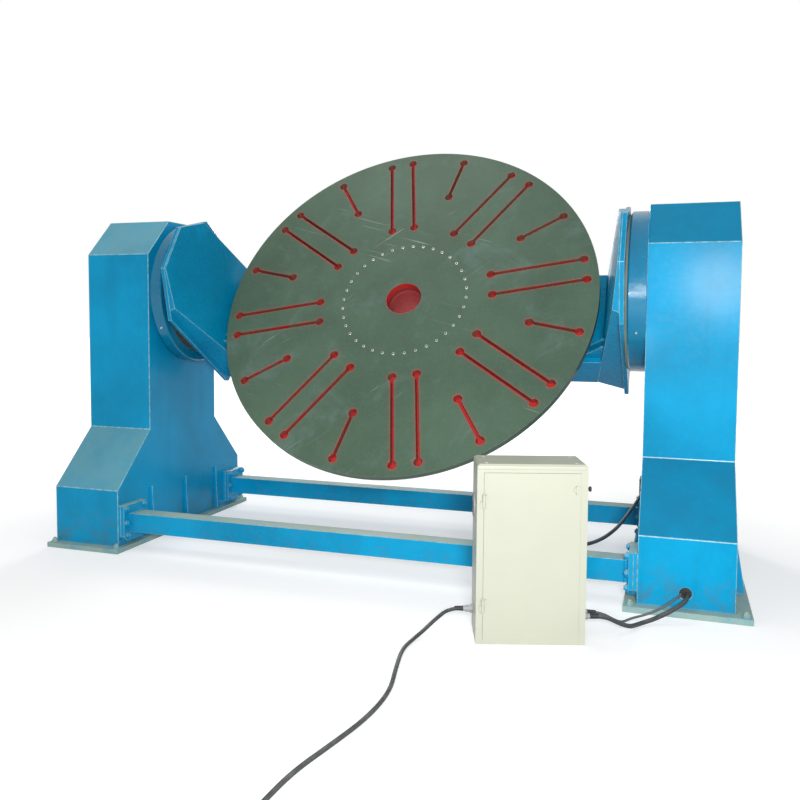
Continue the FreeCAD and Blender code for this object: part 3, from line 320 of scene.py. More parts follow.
def edge_highlight_paint(name, base):
    """Lighter paint where an edge is rounded: thin paint, and a painted highlight where the fold catches the
    light.
    """
    paint = Paint(name, Specular_IOR_Level=0.4, Coat_Weight=0.1, Coat_Roughness=0.15)
    wear = paint.noise(26, 6, 0.7)
    return paint.finish(paint.layer(tint(base, 0.55), wear, 0.38, 0.66, base),
                        paint.step(wear, 0.3, 0.7, 0.22, 0.4))


def table_paint(name, base, primer):
    """Satin table paint; red primer shows round the slots and their end holes, darker towards the table's
    upper side as painted shade.
    """
    paint = Paint(name, Specular_IOR_Level=0.14, Coat_Weight=0.04, Coat_Roughness=0.25)
    cloud = paint.noise(1.4, 5, 0.6)
    smear = paint.noise(3.4, 6, 0.68, twist=0.8)
    grain = paint.noise(70, 5, 0.7)
    tone = paint.layer(tint(base, 0.84), cloud, 0.28, 0.72, tint(base, 1.16))
    tone = paint.layer(tone, smear, 0.5, 0.78, (0.135, 0.205, 0.185), 0.6)
    tone = paint.layer(tone, paint.noise(2.2, 4, 0.6), 0.55, 0.75, tint(base, 0.72), 0.4)
    tone = paint.layer(tone, grain, 0.46, 0.8, tint(base, 1.7), 0.34)

    from_middle = paint.vector("SUBTRACT", paint.place, TABLE.translation)
    u, v = (paint.vector("DOT_PRODUCT", from_middle, TABLE.col[k].to_3d(), out=1) for k in (0, 1))
    radius = (u * u + v * v) ** 0.5
    sector = math.radians(360 / STAR)
    turned = u.maths("ARCTAN2", v, u) - math.radians(STAR_TURN)
    folded = turned.maths("PINGPONG", turned + STAR * sector, sector / 2)
    wobble = (grain - 0.5) * 0.016 + (paint.noise(34, 4, 0.6) - 0.5) * 0.014

    def beside(angle, lane, inner):
        """How far a point is from a slot with end holes, less than 0 inside."""
        x = radius * angle.maths("COSINE", angle)
        y = abs(radius * angle.maths("SINE", angle) - lane)
        past = abs(x - (inner + SLOT_OUTER) / 2) - (SLOT_OUTER - inner) / 2
        along = x.maths("MAXIMUM", past, 0)
        strip = (along * along + y * y) ** 0.5 - SLOT_HALF
        ring = (past * past + y * y) ** 0.5 - SLOT_END
        return strip.maths("MINIMUM", strip, ring)

    pair = beside(folded, SLOT_LANE, PAIR_INNER)
    lone = beside(folded - sector / 2, 0.0, SINGLE_INNER)
    near = pair.maths("MINIMUM", pair, lone) + wobble
    slots = paint.step(near, -0.0012, 0.0014, 1, 0)
    # the primer turns a darker brown towards the table's upper side, a painted shade
    primer = paint.layer(primer, v, -0.15, 0.75, (0.27, 0.085, 0.065), 0.55)
    primer = paint.layer(primer, grain, 0.42, 0.72, (0.3, 0.075, 0.05), 0.45)
    tone = paint.mix(paint.step(near, 0.0, 0.022, 0.16, 0), tone, primer)
    bore = paint.step(radius + wobble * 0.4, BORE + 0.0005, BORE + 0.004, 1, 0)
    red = slots.maths("MAXIMUM", slots, bore)
    tone = paint.mix(red, tone, primer)

    for slant, where in ((0.3, 2.3), (-0.85, 3.4)):
        drawn = paint.node("ShaderNodeCombineXYZ", {},
                           {0: (u - v * slant) * 1.6, 1: (v + u * slant) * 95, 2: where})
        line = paint.node("ShaderNodeTexNoise", {}, {"Vector": drawn, "Scale": 1.0, "Detail": 1.0})
        rare = paint.step(paint.noise(where, 3, 0.5), 0.54, 0.66, 0, 0.55)
        tone = paint.mix(paint.step(line, 0.7, 0.76) * rare, tone, (0.4, 0.45, 0.42))
    paint.bump(grain * 0.5 + cloud, 0.0006)
    return paint.finish(tone, paint.step(smear, 0.3, 0.7, 0.34, 0.5) + red * 0.15)


def cable_sheath(name, base):
    """Rubber sheath, scuffed, with dust on its upper side."""
    paint = Paint(name, Specular_IOR_Level=0.4)
    scuff = paint.noise(48, 5, 0.7)
    dusty = paint.noise(9, 5, 0.6)
    tone = paint.layer(base, scuff, 0.45, 0.75, (0.12, 0.125, 0.12), 0.5)
    up = paint.axes(paint.facing)[2]
    lying = paint.step(up, 0.2, 1.0, 0, 0.3) * paint.step(dusty, 0.35, 0.7)
    tone = paint.mix(lying, tone, (0.27, 0.28, 0.26))
    paint.bump(scuff, 0.0004)
    return paint.finish(tone, paint.step(scuff, 0.3, 0.7, 0.42, 0.62))


# ------------------------------------------------------------ mesh helpers
def move(x=0.0, y=0.0, z=0.0):
    return Matrix.Translation((x, y, z))


def turn(degrees, axis="Z"):
    return Matrix.Rotation(math.radians(degrees), 4, axis)


def on_circle(radius, degrees, height=0.0):
    a = math.radians(degrees)
    return Vector((radius * math.cos(a), radius * math.sin(a), height))


def frame_at(point, normal, along=None):
    """Matrix at point whose Z is normal and whose X is nearest to along."""
    z = Vector(normal).normalized()
    x = Vector(along) if along else z.orthogonal()
    x = (x - z * x.dot(z)).normalized()
    return move(*point) @ Matrix((x, z.cross(x), z)).transposed().to_4x4()


def add_object(name, data, material=None, matrix=None):
    """Puts an object with this data in the scene."""
    made = bpy.data.objects.new(name, data)
    bpy.context.scene.collection.objects.link(made)
    if material:
        data.materials.append(material)
    if matrix:
        made.matrix_world = matrix
    return made


def mesh_data(name, mesh):
    data = bpy.data.meshes.new(name)
    bmesh.ops.recalc_face_normals(mesh, faces=mesh.faces)
    mesh.to_mesh(data)
    mesh.free()
    return data


def add_piece(name, mesh, finish, body, smooth=35):
    """Makes a piece from a bmesh, shades it smooth up to an angle and lets it ride."""
    made = add_object(name, mesh_data(name, mesh), FINISH[finish])
    made.data.shade_smooth()
    made.data.set_sharp_from_angle(angle=math.radians(smooth))
    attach(made, body)
    return made


def lathe(mesh, place, profile, steps=32):
    """Turns (radius, height) pairs about place's Z axis; a radius of 0 closes the end."""
    rings = []
    for radius, height in profile:
        places = [k * 360 / steps for k in range(steps)] if radius else [0]
        rings.append([mesh.verts.new(place @ on_circle(radius, a, height)) for a in places])
    for one, other in zip(rings, rings[1:]):
        for k in range(steps):
            corners = [one[k % len(one)], one[(k + 1) % len(one)],
                       other[(k + 1) % len(other)], other[k % len(other)]]
            mesh.faces.new(list(dict.fromkeys(corners)))


def disc(mesh, place, radius, low, high, steps=16):
    lathe(mesh, place, [(0, low), (radius, low), (radius, high), (0, high)], steps)


def button(mesh, place, radius, low, shoulder, crown, top, steps=16):
    """Disc whose rim is chamfered from radius at shoulder to crown at top."""
    lathe(mesh, place, [(0, low), (radius, low), (radius, shoulder), (crown, top), (0, top)], steps)


def skin(mesh, loops):
    """Joins closed loops of corners in order and closes both ends."""
    count = len(loops[0])
    for one, other in zip(loops, loops[1:]):
        for k in range(count):
            mesh.faces.new([one[k], one[(k + 1) % count], other[(k + 1) % count], other[k]])
    mesh.faces.new(loops[0])
    mesh.faces.new(loops[-1])


def block(mesh, place, low, high, chamfer=0.0):
    """Box between two corners, with its vertical edges and top chamfered."""
    x0, y0, z0 = low
    x1, y1, z1 = high
    c = chamfer

    def outline(inset):
        a, b = inset + c, inset
        return [(x0 + a, y0 + b), (x1 - a, y0 + b), (x1 - b, y0 + a), (x1 - b, y1 - a),
                (x1 - a, y1 - b), (x0 + a, y1 - b), (x0 + b, y1 - a), (x0 + b, y0 + a)]

    if c:
        levels = [(outline(0), z0), (outline(0), z1 - c), (outline(c), z1)]
    else:
        ring = [(x0, y0), (x1, y0), (x1, y1), (x0, y1)]
        levels = [(ring, z0), (ring, z1)]
    skin(mesh, [[mesh.verts.new(place @ Vector((x, y, z))) for x, y in ring] for ring, z in levels])


def weld(mesh, start, end, leg, lift, dice, sides=6):
    """Rippled bead from start to end; lift points out of the corner it fills."""
    start, end = Vector(start), Vector(end)
    run = (end - start).normalized()
    out = Vector(lift).normalized()
    side = run.cross(out)
    count = max(4, int((end - start).length / (leg * 0.9)))
    rings = []
    for k in range(count + 1):
        middle = start.lerp(end, k / count)
        swell = leg * (0.5 + 0.1 * (k % 2) + dice.uniform(-0.04, 0.06))
        if k in (0, count):
            swell *= 0.5
        spokes = [on_circle(swell, 360 * s / sides) for s in range(sides)]
        rings.append([mesh.verts.new(middle + out * spoke.x + side * spoke.y) for spoke in spokes])
    skin(mesh, rings)


def hex_head(mesh, place, flats, tall, washer=None, stud=None):
    """Hexagon head or nut with a chamfered top, on an optional washer, with an optional stud end."""
    base = 0.0
    if washer:
        base = 0.003
        disc(mesh, place, washer, 0, base, 24)
    r = flats / math.sqrt(3)
    top = base + tall
    button(mesh, place, r, base, base + tall * 0.84, r * 0.88, top, 6)
    if stud:
        button(mesh, place, stud, base + tall * 0.5, top + stud * 0.7, stud * 0.8, top + stud)


# ------------------------------------------------------------ places
def cabinet_place():
    """Front left floor corner of the cabinet: X along the front, Y into the depth; and its size."""
    out = Vector(JOINTS["latch_turn"]["axis"])
    angle = math.atan2(out.x, -out.y)
    low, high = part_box("cabinet_cap")
    c, s = math.cos(angle), math.sin(angle)
    wide = ((high.x - low.x) * c - (high.y - low.y) * s) / (c * c - s * s)
    deep = ((high.y - low.y) * c - (high.x - low.x) * s) / (c * c - s * s)
    corner = Vector((low.x + deep * s, low.y, 0))
    return move(*corner) @ Matrix.Rotation(angle, 4, "Z"), Vector((wide, deep, high.z))


# middle of the table's face: X along the tilt axis, Z out of the face
TABLE = frame_at(JOINTS["turn"]["pos_m"], JOINTS["turn"]["axis"], JOINTS["tilt"]["axis"])
TILT_AXIS_UP = 0.061    # from that face to the tilt axis, where the cradle is measured from
CRADLE = TABLE @ move(z=TILT_AXIS_UP)
CABINET, CABINET_SIZE = cabinet_place()

# pattern of the table's slots
STAR = 8                # pairs of slots, with a single slot between each two
STAR_TURN = 10.7        # degrees from the tilt axis to the first pair
SLOT_LANE = 0.0785      # from the middle of a pair to each slot
SLOT_HALF = 0.011       # half a slot's width
SLOT_END = 0.0275       # radius of the end holes
SLOT_OUTER = 1.172      # radius at which all slots end
PAIR_INNER = 0.58
SINGLE_INNER = 0.859
BORE = 0.1175
TABLE_THICK = 0.05

# cables: diameter, and where each leaves the cabinet and goes into the drive column
CABLE_D = {"mains": 0.018, "cradle": 0.02, "drive": 0.022, "sensor": 0.012}
OUTLET = {name: CABINET @ Vector(at) for name, at in (
    ("mains", (-0.046, 0.187, 0.1)), ("cradle", (0.46, 0.306, 0.35)),
    ("drive", (0.546, 0.13, 0.09)), ("sensor", (0.546, 0.19, 0.09)))}
INLET = {"cradle": Vector((1.531, 0.75564, 0.39)), "drive": Vector((1.7985, -0.41236, 0.101)),
         "sensor": Vector((1.7705, -0.41236, 0.114))}
COIL = Vector((0.66, -2.71836, 0))

FINISH = {}

# the solids that take each finish
WEARERS = {
    "drive_blue": ("drive_column", "drive_service_cover"),
    "idler_blue": ("idler_column",),
    "deck": ("drive_base_plate", "idler_base_plate"),
    "beam_blue": ("front_tie_beam", "rear_tie_beam", "tie_beam_flanges", "drive_beam_pads",
                  "idler_beam_pads", "drive_inner_ribs", "drive_outer_ribs", "idler_inner_ribs",
                  "drive_beam_bolts", "idler_beam_bolts"),
    "cradle_blue": ("drive_end_plate", "idler_end_plate", "drive_arm", "idler_arm", "cross_box",
                    "drive_knee_gussets", "idler_knee_gussets", "slewing_seat"),
    "drum_blue": ("drive_drum", "idler_drum"),
    "table": ("slotted_faceplate",),
    "gear": ("slewing_gear_ring", "turn_pinion", "slewing_fixed_ring"),
    "greased": ("idler_trunnion",),
    "steel": ("drive_trunnion",),
    "seal": ("drive_seal_ring",),
    "reducer": ("turn_reducer",),
    "motor": ("turn_motor",),
    "black": ("cable_grommet", "turn_motor_cowl", "cabinet_inverters"),
    "cream": ("cabinet_carcass", "cabinet_cap", "cabinet_door", "door_latch"),
    "zinc": ("cabinet_mounting_plate",),
    "grey": ("cabinet_cable_glands", "column_junction_box"),
    "louvre": ("cabinet_side_louvre",),
    "white": ("cabinet_contactors",),
    "red": ("mains_plug",),
    "sheath": ("mains_cable", "mains_coil", "drive_cable", "cradle_cable", "sensor_cable"),
}
SHARP = ("drive_beam_bolts", "idler_beam_bolts")

# joins the corners, makes faces whole, rounds the edges, keeps flat faces flat
SOFTENING = (
    ("join", "WELD", {"merge_threshold": 0.0001}),
    ("whole_faces", "DECIMATE", {"decimate_type": "DISSOLVE", "angle_limit": math.radians(0.2)}),
    ("soft_edges", "BEVEL", {"segments": 2, "limit_method": "ANGLE", "angle_limit": math.radians(35),
                             "harden_normals": True, "material": 1}),
    ("flat_faces", "WEIGHTED_NORMAL", {"mode": "FACE_AREA", "weight": 100, "thresh": 0, "keep_sharp": True}),
)


def soften(solid, width, edge):
    """Rounds a solid's edges in the finish edge."""
    solid.data.materials.append(FINISH[edge])
    for name, kind, settings in SOFTENING:
        modifier = solid.modifiers.new(name, kind)
        for key, value in settings.items():
            setattr(modifier, key, value)
    solid.modifiers["soft_edges"].width = width


# ------------------------------------------------------------ operators
class PaintNodes(bpy.types.Operator):
    """Makes the finishes and gives them to the carried-over solids"""
    bl_idname = "positioner.paint_nodes"
    bl_label = "Paints and metals"

    def execute(self, context):
        f = context.scene.positioner_finishes
        sizes = context.scene.positioner_sizes
        blue, dust, cream, primer, grease = (tuple(c) for c in (f.blue, f.dust, f.cream, f.primer, f.grease))

        def use(maker, name, *values, **settings):
            FINISH[name] = maker(name, *values, **settings)

        # the drive column's sloping faces get a darker blue as painted shade
        use(blue_paint, "drive_blue", blue, dust, 0.55, slope=0.85, floor_dirt=0.5, gloss=0.42, shine=0.07,
            film=(0.01, 0.19, 0.34))
        # the idler column's sloping faces get a pale grey-green, partly dust and partly painted reflection
        use(blue_paint, "idler_blue", blue, dust, 0.8, slope=0.6, floor_dirt=0.5, shade=0.96,
            film=(0.21, 0.43, 0.42))
        use(deck_paint, "deck", blue, dust)
        # shade below 1 in these blues and in the idler blue is painted shade: darker copies of the one blue,
        # the drums darkest, then welds and cradle
        use(blue_paint, "beam_blue", blue, dust, 0.95, slope=0.4, floor_dirt=0.35, shade=0.98)
        use(blue_paint, "cradle_blue", blue, dust, 0.25, shade=0.8, gloss=0.3)
        use(blue_paint, "drum_blue", blue, dust, 0.25, shade=0.56, gloss=0.2, shine=0.4)
        use(blue_paint, "weld_blue", blue, dust, 0.35, floor_dirt=0.2, shade=0.88, gloss=0.4)
        use(blue_paint, "weld_cradle", blue, dust, 0.15, shade=0.76, gloss=0.4)
        use(edge_highlight_paint, "edge", tuple(f.edge_highlight_blue))
        use(table_paint, "table", tuple(f.table), primer)
        use(bare_metal, "table_edge", (0.2, 0.19, 0.17), gloss=0.36, stained=0.6, metal=0.4)
        use(bare_metal, "steel", tuple(f.steel))
        use(bare_metal, "zinc", tuple(f.zinc), gloss=0.36, stained=0.12, metal=0.9)
        use(bare_metal, "bright", (0.66, 0.66, 0.6), gloss=0.34, stained=0.1, metal=0.7)
        use(greased_metal, "greased", (0.2, 0.15, 0.1), grease, 0.7)
        use(greased_metal, "gear", (0.4, 0.39, 0.37), grease, 0.35)
        use(cable_sheath, "sheath", tuple(f.rubber))
        use(cable_sheath, "grey_sheath", (0.1, 0.105, 0.11))
        # colour, gloss, grain, depth of the skin, its fineness, spots
        for name, *values in (("cream", cream, 0.42, 0.03, 0.0003, 520, 0.04),
                              # a lighter cream on the cabinet's rounded edges, a painted highlight
                              ("cream_edge", tint(cream, 1.06), 0.35, 0.02),
                              ("gap_shade", (0.5, 0.51, 0.45), 0.6, 0.05),
                              ("table_back", tint(f.table, 0.85), 0.5, 0.2, 0.0004, 420, 0.3),
                              # a darker copy of the red primer for the dish deep in the bore, a painted
                              # shade
                              ("bore_red", (0.27, 0.035, 0.035), 0.6, 0.35, 0.0008, 120, 0.6),
                              ("primer", primer, 0.6, 0.25, 0.0008, 120, 0.3),
                              ("seal", tuple(f.seal), 0.7, 0.2, 0.001, 160, 0.3),
                              ("motor", (0.045, 0.14, 0.22), 0.4, 0.14),
                              ("reducer", (0.05, 0.17, 0.24), 0.42, 0.16, 0.001, 90),
                              ("black", (0.022, 0.023, 0.025), 0.5, 0.15),
                              ("grey", (0.34, 0.35, 0.36), 0.5, 0.08),
                              ("white", (0.72, 0.72, 0.68), 0.5, 0.05),
                              ("louvre", (0.09, 0.095, 0.09), 0.5, 0.12),
                              ("red", (0.36, 0.016, 0.014), 0.38, 0.06)):
            use(plain_paint, name, *values)

        rounded = {"drive_blue": (sizes.edge, "edge"), "idler_blue": (sizes.edge, "edge"),
                   "deck": (sizes.edge * 0.6, "edge"), "beam_blue": (sizes.edge * 0.5, "edge"),
                   "cradle_blue": (sizes.edge * 0.5, "edge"), "cream": (sizes.sheet_edge, "cream_edge"),
                   "table": (0.0014, "table_edge")}
        left = set(frame["nodes"])
        for finish, nodes in WEARERS.items():
            for node in nodes:
                left.remove(node)
                solid = frame["nodes"][node]
                solid.data.materials.clear()
                solid.data.materials.append(FINISH[finish])
                if finish in rounded and node not in SHARP:
                    soften(solid, *rounded[finish])
        if left:
            raise RuntimeError("no finish for " + ", ".join(sorted(left)))
        return {"FINISHED"}


class MainsPlug(bpy.types.Operator):
    """Makes the five-pin industrial plug of the mains cable, with its grip ribs, collar and pins"""
    bl_idname = "positioner.mains_plug"
    bl_label = "Mains plug"

    def execute(self, context):
        low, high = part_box("mains_plug")
        rear = frame_at(((low.x + high.x) / 2, high.y, (low.z + high.z) / 2), FRONT, RIGHT)
        grip, groove, collar, shroud, end = 0.0277, 0.0262, 0.033, 0.0314, 0.15
        profile = [(0, 0.012), (0.0093, 0.012), (0.0093, 0.0), (0.013, 0.0), (0.015, 0.003), (0.015, 0.01),
                   (0.019, 0.014), (0.019, 0.024), (0.0235, 0.034), (grip, 0.042)]
        for k in range(6):
            at = 0.046 + 0.0075 * k
            profile += [(grip, at), (grip, at + 0.004), (groove, at + 0.0048), (groove, at + 0.0067)]
        profile += [(grip, 0.0925), (grip, 0.0955), (collar, 0.0985), (collar, 0.108), (shroud, 0.11),
                    (shroud, 0.1485), (0.0304, end), (0.0285, end), (0.0285, 0.113), (0, 0.113)]
        mesh = bmesh.new()
        lathe(mesh, rear, profile, 48)
        block(mesh, rear @ turn(-90), (0.03, -0.004, 0.112), (0.0328, 0.004, 0.146), 0.0008)
        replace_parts(add_piece("plug_body", mesh, "red", "stand"), "mains_plug")

        mesh = bmesh.new()
        for k in range(5):
            thick = 0.0032 if k else 0.004
            pin = rear @ move(*on_circle(0.017, 90 + 72 * k, 0.1128))
            button(mesh, pin, thick, 0, 0.029, thick * 0.6, 0.032)
        add_piece("plug_pins", mesh, "bright", "stand")
        return {"FINISHED"}


def cable(name, points, finish, nodes):
    """A cable on one NURBS spline that stands for its CAD tube."""
    diameter = CABLE_D[name]
    points = [Vector(p) for p in points]
    name += "_lead"
    data = bpy.data.curves.new(name, "CURVE")
    data.dimensions = "3D"
    spline = data.splines.new("NURBS")
    spline.points.add(len(points) - 1)
    for target, point in zip(spline.points, points):
        target.co = (*point, 1)
    spline.order_u = 3
    spline.use_endpoint_u = True
    spline.resolution_u = 6
    data.bevel_depth = diameter / 2
    data.bevel_resolution = 4
    data.use_fill_caps = True
    made = add_object(name, data, FINISH[finish])
    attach(made, "stand")
    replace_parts(made, *nodes)
    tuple(points[0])


class Cables(bpy.types.Operator):
    """Lays the mains cable with its coil, and the three machine cables"""
    bl_idname = "positioner.cables"
    bl_label = "Cables"

    def execute(self, context):
        z = 0.0095
        mains = [OUTLET["mains"], CABINET @ Vector((-0.112, 0.187, 0.1)), (0.66, -1.05436, 0.062),
                 (0.616, -1.11836, 0.02), (0.594, -1.19836, z), (0.582, -1.31836, z), (0.62, -1.51836, z),
                 (0.67, -1.73836, z), (0.66, -1.96836, z), (0.61, -2.18836, z), (0.562, -2.37836, z),
                 COIL + Vector((-0.112, 0.16, z)), COIL + Vector((-0.1105, 0.03, z))]
        # radius and height of the four turns; each passes to the next in the last four steps
        turns = [(0.1105, 0.0095), (0.0925, 0.0095), (0.0925, 0.028), (0.1105, 0.028)]
        steps, passing = 16, 4
        for k in range(1, 4 * steps + 4):
            radius, height = turns[min(k // steps, 3)]
            next_radius, next_height = turns[min(k // steps + 1, 3)]
            share = max(0.0, (k % steps - steps + passing) / passing)
            mains.append(COIL + on_circle(radius + (next_radius - radius) * share, 180 + 360 * k / steps,
                                          height + (next_height - height) * share))
        mains += [COIL + Vector(p) for p in ((0.012, -0.112, 0.029), (0.06, -0.116, 0.031),
                                             (0.104, -0.134, 0.033), (0.127, -0.162, 0.034),
                                             (0.127, -0.198, 0.034))]
        cable("mains", mains, "sheath", ("mains_cable", "mains_coil"))
        cradle = [OUTLET["cradle"], CABINET @ Vector((0.46, 0.396, 0.346)), (1.232, -0.48336, 0.312),
                  (1.342, -0.30836, 0.303), (1.422, -0.05836, 0.318), (1.476, 0.22164, 0.352),
                  (1.518, 0.47164, 0.384), (1.531, 0.63564, 0.39), INLET["cradle"]]
        cable("cradle", cradle, "sheath", ("cradle_cable",))
        drive = [INLET["drive"], (1.7985, -0.49636, 0.101), (1.75, -0.56636, 0.08),
                 (1.66, -0.59536, 0.028), (1.572, -0.66836, 0.012), (1.535, -0.75236, 0.024),
                 (1.481, -0.79436, 0.054), CABINET @ Vector((0.618, 0.13, 0.09)), OUTLET["drive"]]
        cable("drive", drive, "sheath", ("drive_cable",))
        sensor = [INLET["sensor"], (1.7705, -0.46836, 0.114), (1.736, -0.51836, 0.1),
                  (1.674, -0.54436, 0.058), (1.6, -0.55636, 0.022), (1.53, -0.58836, 0.007),
                  (1.5, -0.64836, 0.007), (1.47, -0.71836, 0.034),
                  CABINET @ Vector((0.606, 0.19, 0.09)), OUTLET["sensor"]]
        cable("sensor", sensor, "grey_sheath", ("sensor_cable",))
        return {"FINISHED"}


class StrainReliefs(bpy.types.Operator):
    """Fits tapered sleeves where cables leave a housing, and ties the coil"""
    bl_idname = "positioner.strain_reliefs"
    bl_label = "Strain reliefs and ties"

    def execute(self, context):
        long = context.scene.positioner_sizes.boot
        level = CABINET.to_3x3()
        mesh = bmesh.new()
        # cable, where its sleeve sits, which way it points, diameter of its collar
        for name, at, out, collar in (("mains", OUTLET, level @ LEFT, 0.025),
                                      ("cradle", OUTLET, level @ REAR, 0.025),
                                      ("drive", OUTLET, level @ RIGHT, 0.026),
                                      ("sensor", OUTLET, level @ RIGHT, 0.02),
                                      ("cradle", INLET, FRONT, 0.0236),
                                      ("drive", INLET, FRONT, 0.027),
                                      ("sensor", INLET, FRONT, 0.018)):
            wall = CABLE_D[name] / 2 + 0.0006
            rim = collar / 2
            profile = [(wall, -0.002), (rim, -0.002), (rim, 0.004)]
            for k in range(5):
                low = 0.005 + (long - 0.007) * k / 5
                wide = rim + (wall + 0.0012 - rim) * (k + 1) / 5
                profile += [(wide, low), (wide, low + 0.0045), (wide - 0.0012, low + 0.0052),
                            (wide - 0.0012, low + 0.0068)]
            profile += [(wall + 0.0004, long), (wall, long), (wall, -0.002)]
            lathe(mesh, frame_at(at[name], out), profile, 24)
        add_piece("strain_relief_sleeves", mesh, "black", "stand")

        # outline of the coil's two by two turns that a tie goes round, about the coil's middle height
        section = [(0.0815, -0.0125), (0.085, -0.0182), (0.118, -0.0182), (0.1208, -0.0125),
                   (0.1208, 0.015), (0.118, 0.0188), (0.085, 0.0188), (0.0815, 0.015)]
        between, half_height, half_width, thick = 0.1011, 0.0188, 0.0045, 0.0014
        mesh = bmesh.new()
        for angle in (50, 170, 285):
            spin = move(*COIL) @ move(z=half_height) @ turn(angle)
            loops = []
            for grow, side in ((0, -half_width), (0, half_width), (thick, half_width), (thick, -half_width)):
                loops.append([mesh.verts.new(spin @ (Vector((x, side, z))
                                                     + Vector((x - between, 0, z)).normalized() * grow))
                              for x, z in section])
            for one, other in zip(loops, loops[1:] + loops[:1]):
                for k in range(8):
                    mesh.faces.new([one[k], one[(k + 1) % 8], other[(k + 1) % 8], other[k]])
            block(mesh, spin @ move(between, 0, half_height), (-0.006, -0.006, 0), (0.006, 0.006, 0.006),
                  0.001)
        add_piece("coil_ties", mesh, "black", "stand")
        return {"FINISHED"}


class TurntableParts(bpy.types.Operator):
    """Closes the slots from below, sets the dish in the bore and the ring screws"""
    bl_idname = "positioner.turntable_parts"
    bl_label = "Slot covers, bore dish, ring screws"

    def execute(self, context):
        sizes = context.scene.positioner_sizes
        mesh = bmesh.new()
        sector = 360 / STAR
        for k in range(STAR):
            for lane, inner, angle in ((SLOT_LANE, PAIR_INNER, 0), (-SLOT_LANE, PAIR_INNER, 0),
                                       (0, SINGLE_INNER, sector / 2)):
                spin = turn(STAR_TURN + sector * k + angle)
                block(mesh, TABLE @ spin @ move(y=lane) @ turn(180, "X"),
                      (inner - 0.036, -0.034, TABLE_THICK + 0.0004),
                      (SLOT_OUTER + 0.036, 0.034, TABLE_THICK + 0.0076), 0.0018)
        covers = add_piece("slot_covers", mesh, "primer", "turntable")
        covers.data.materials.append(FINISH["table_back"])
        for side in covers.data.polygons:
            side.material_index = int(side.normal.dot(TABLE.col[2].to_3d()) < 0.5)

        under = TABLE @ move(z=-TABLE_THICK)
        floor, wall, flange = 0.044, 0.1225, 0.152
        mesh = bmesh.new()
        lathe(mesh, under, [(0, -floor), (0.118, -floor), (wall, -0.038), (wall, -0.0004), (flange, -0.0004),
                            (flange, -0.008), (0.128, -0.008), (0.128, -0.05), (0, -0.05)], 64)
        for k in range(6):
            button(mesh, under @ move(*on_circle(0.096, 60 * k + 12, -floor)), 0.009, 0, 0.006, 0.0078,
                   0.0072, 20)
        add_piece("bore_dish", mesh, "bore_red", "turntable")

        mesh = bmesh.new()
        sockets = bmesh.new()
        half = sizes.screw / 2
        for k in range(sizes.screw_places):
            head = TABLE @ move(*on_circle(sizes.screw_ring, 1 + 360 * k / sizes.screw_places))
            lathe(mesh, head, [(half, -0.0004), (half, 0.001), (half - 0.0012, 0.002), (0.0068, 0.002),
                               (0.0062, 0.0006), (half, -0.0004)], 24)
            # a dark hexagon on each head stands in for the socket hole, a painted shade of the hole
            disc(sockets, head, 0.0066, 0.0004, 0.0009, 6)
        add_piece("ring_screws", mesh, "bright", "turntable")
        add_piece("ring_screw_socket_shade", sockets, "louvre", "turntable")
        return {"FINISHED"}


class Fasteners(bpy.types.Operator):
    """Puts the anchor bolts in the base plates, washers and stud ends on the tie beams' flanges"""
    bl_idname = "positioner.fasteners"
    bl_label = "Anchors, washers, studs"

    def execute(self, context):
        inset = 0.033
        anchors = bmesh.new()
        for plate in ("drive_base_plate", "idler_base_plate"):
            low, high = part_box(plate)
            for x in (low.x + inset, high.x - inset):
                for y in (low.y + inset, high.y - inset):
                    any_way = Matrix.Rotation(x * 7 + y * 3, 4, "Z")
                    hex_head(anchors, move(x, y, high.z) @ any_way, 0.03, 0.015, 0.021, 0.01)
                    disc(anchors, move(x, y, 0.001), 0.0118, 0, 0.031)
        add_piece("anchor_bolts", anchors, "deck", "stand")

        pitch, clip, head = 0.092, 0.034 / 3, 0.015
        washers = bmesh.new()
        for bolts, out in (("drive_beam_bolts", LEFT), ("idler_beam_bolts", RIGHT)):
            low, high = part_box(bolts)
            seat = high.x if out == LEFT else low.x
            for beam in ("front_tie_beam", "rear_tie_beam"):
                one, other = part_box(beam)
                y, z = (one.y + other.y) / 2, (one.z + other.z) / 2
                outer = 1 if beam == "rear_tie_beam" else -1
                for j in (-1, 1):
                    for k in (-1, 0, 1):
                        dy, dz = pitch * j, pitch * k
                        if j == outer and k == -1:
                            # the flange's clipped corner moves this bolt inwards
                            dy, dz = outer * (pitch - clip), clip - pitch
                        at = frame_at((seat, y + dy, z + dz), out, REAR)
                        lathe(washers, at, [(0.0195, -0.0002), (0.0235, -0.0002), (0.0235, 0.003),
                                            (0.0225, 0.0036), (0.0195, 0.0036), (0.0195, -0.0002)], 28)
                        button(washers, at @ move(z=head), 0.0115, -0.002, 0.006, 0.01, 0.0075, 18)
        add_piece("beam_washers_and_studs", washers, "beam_blue", "stand")
        return {"FINISHED"}


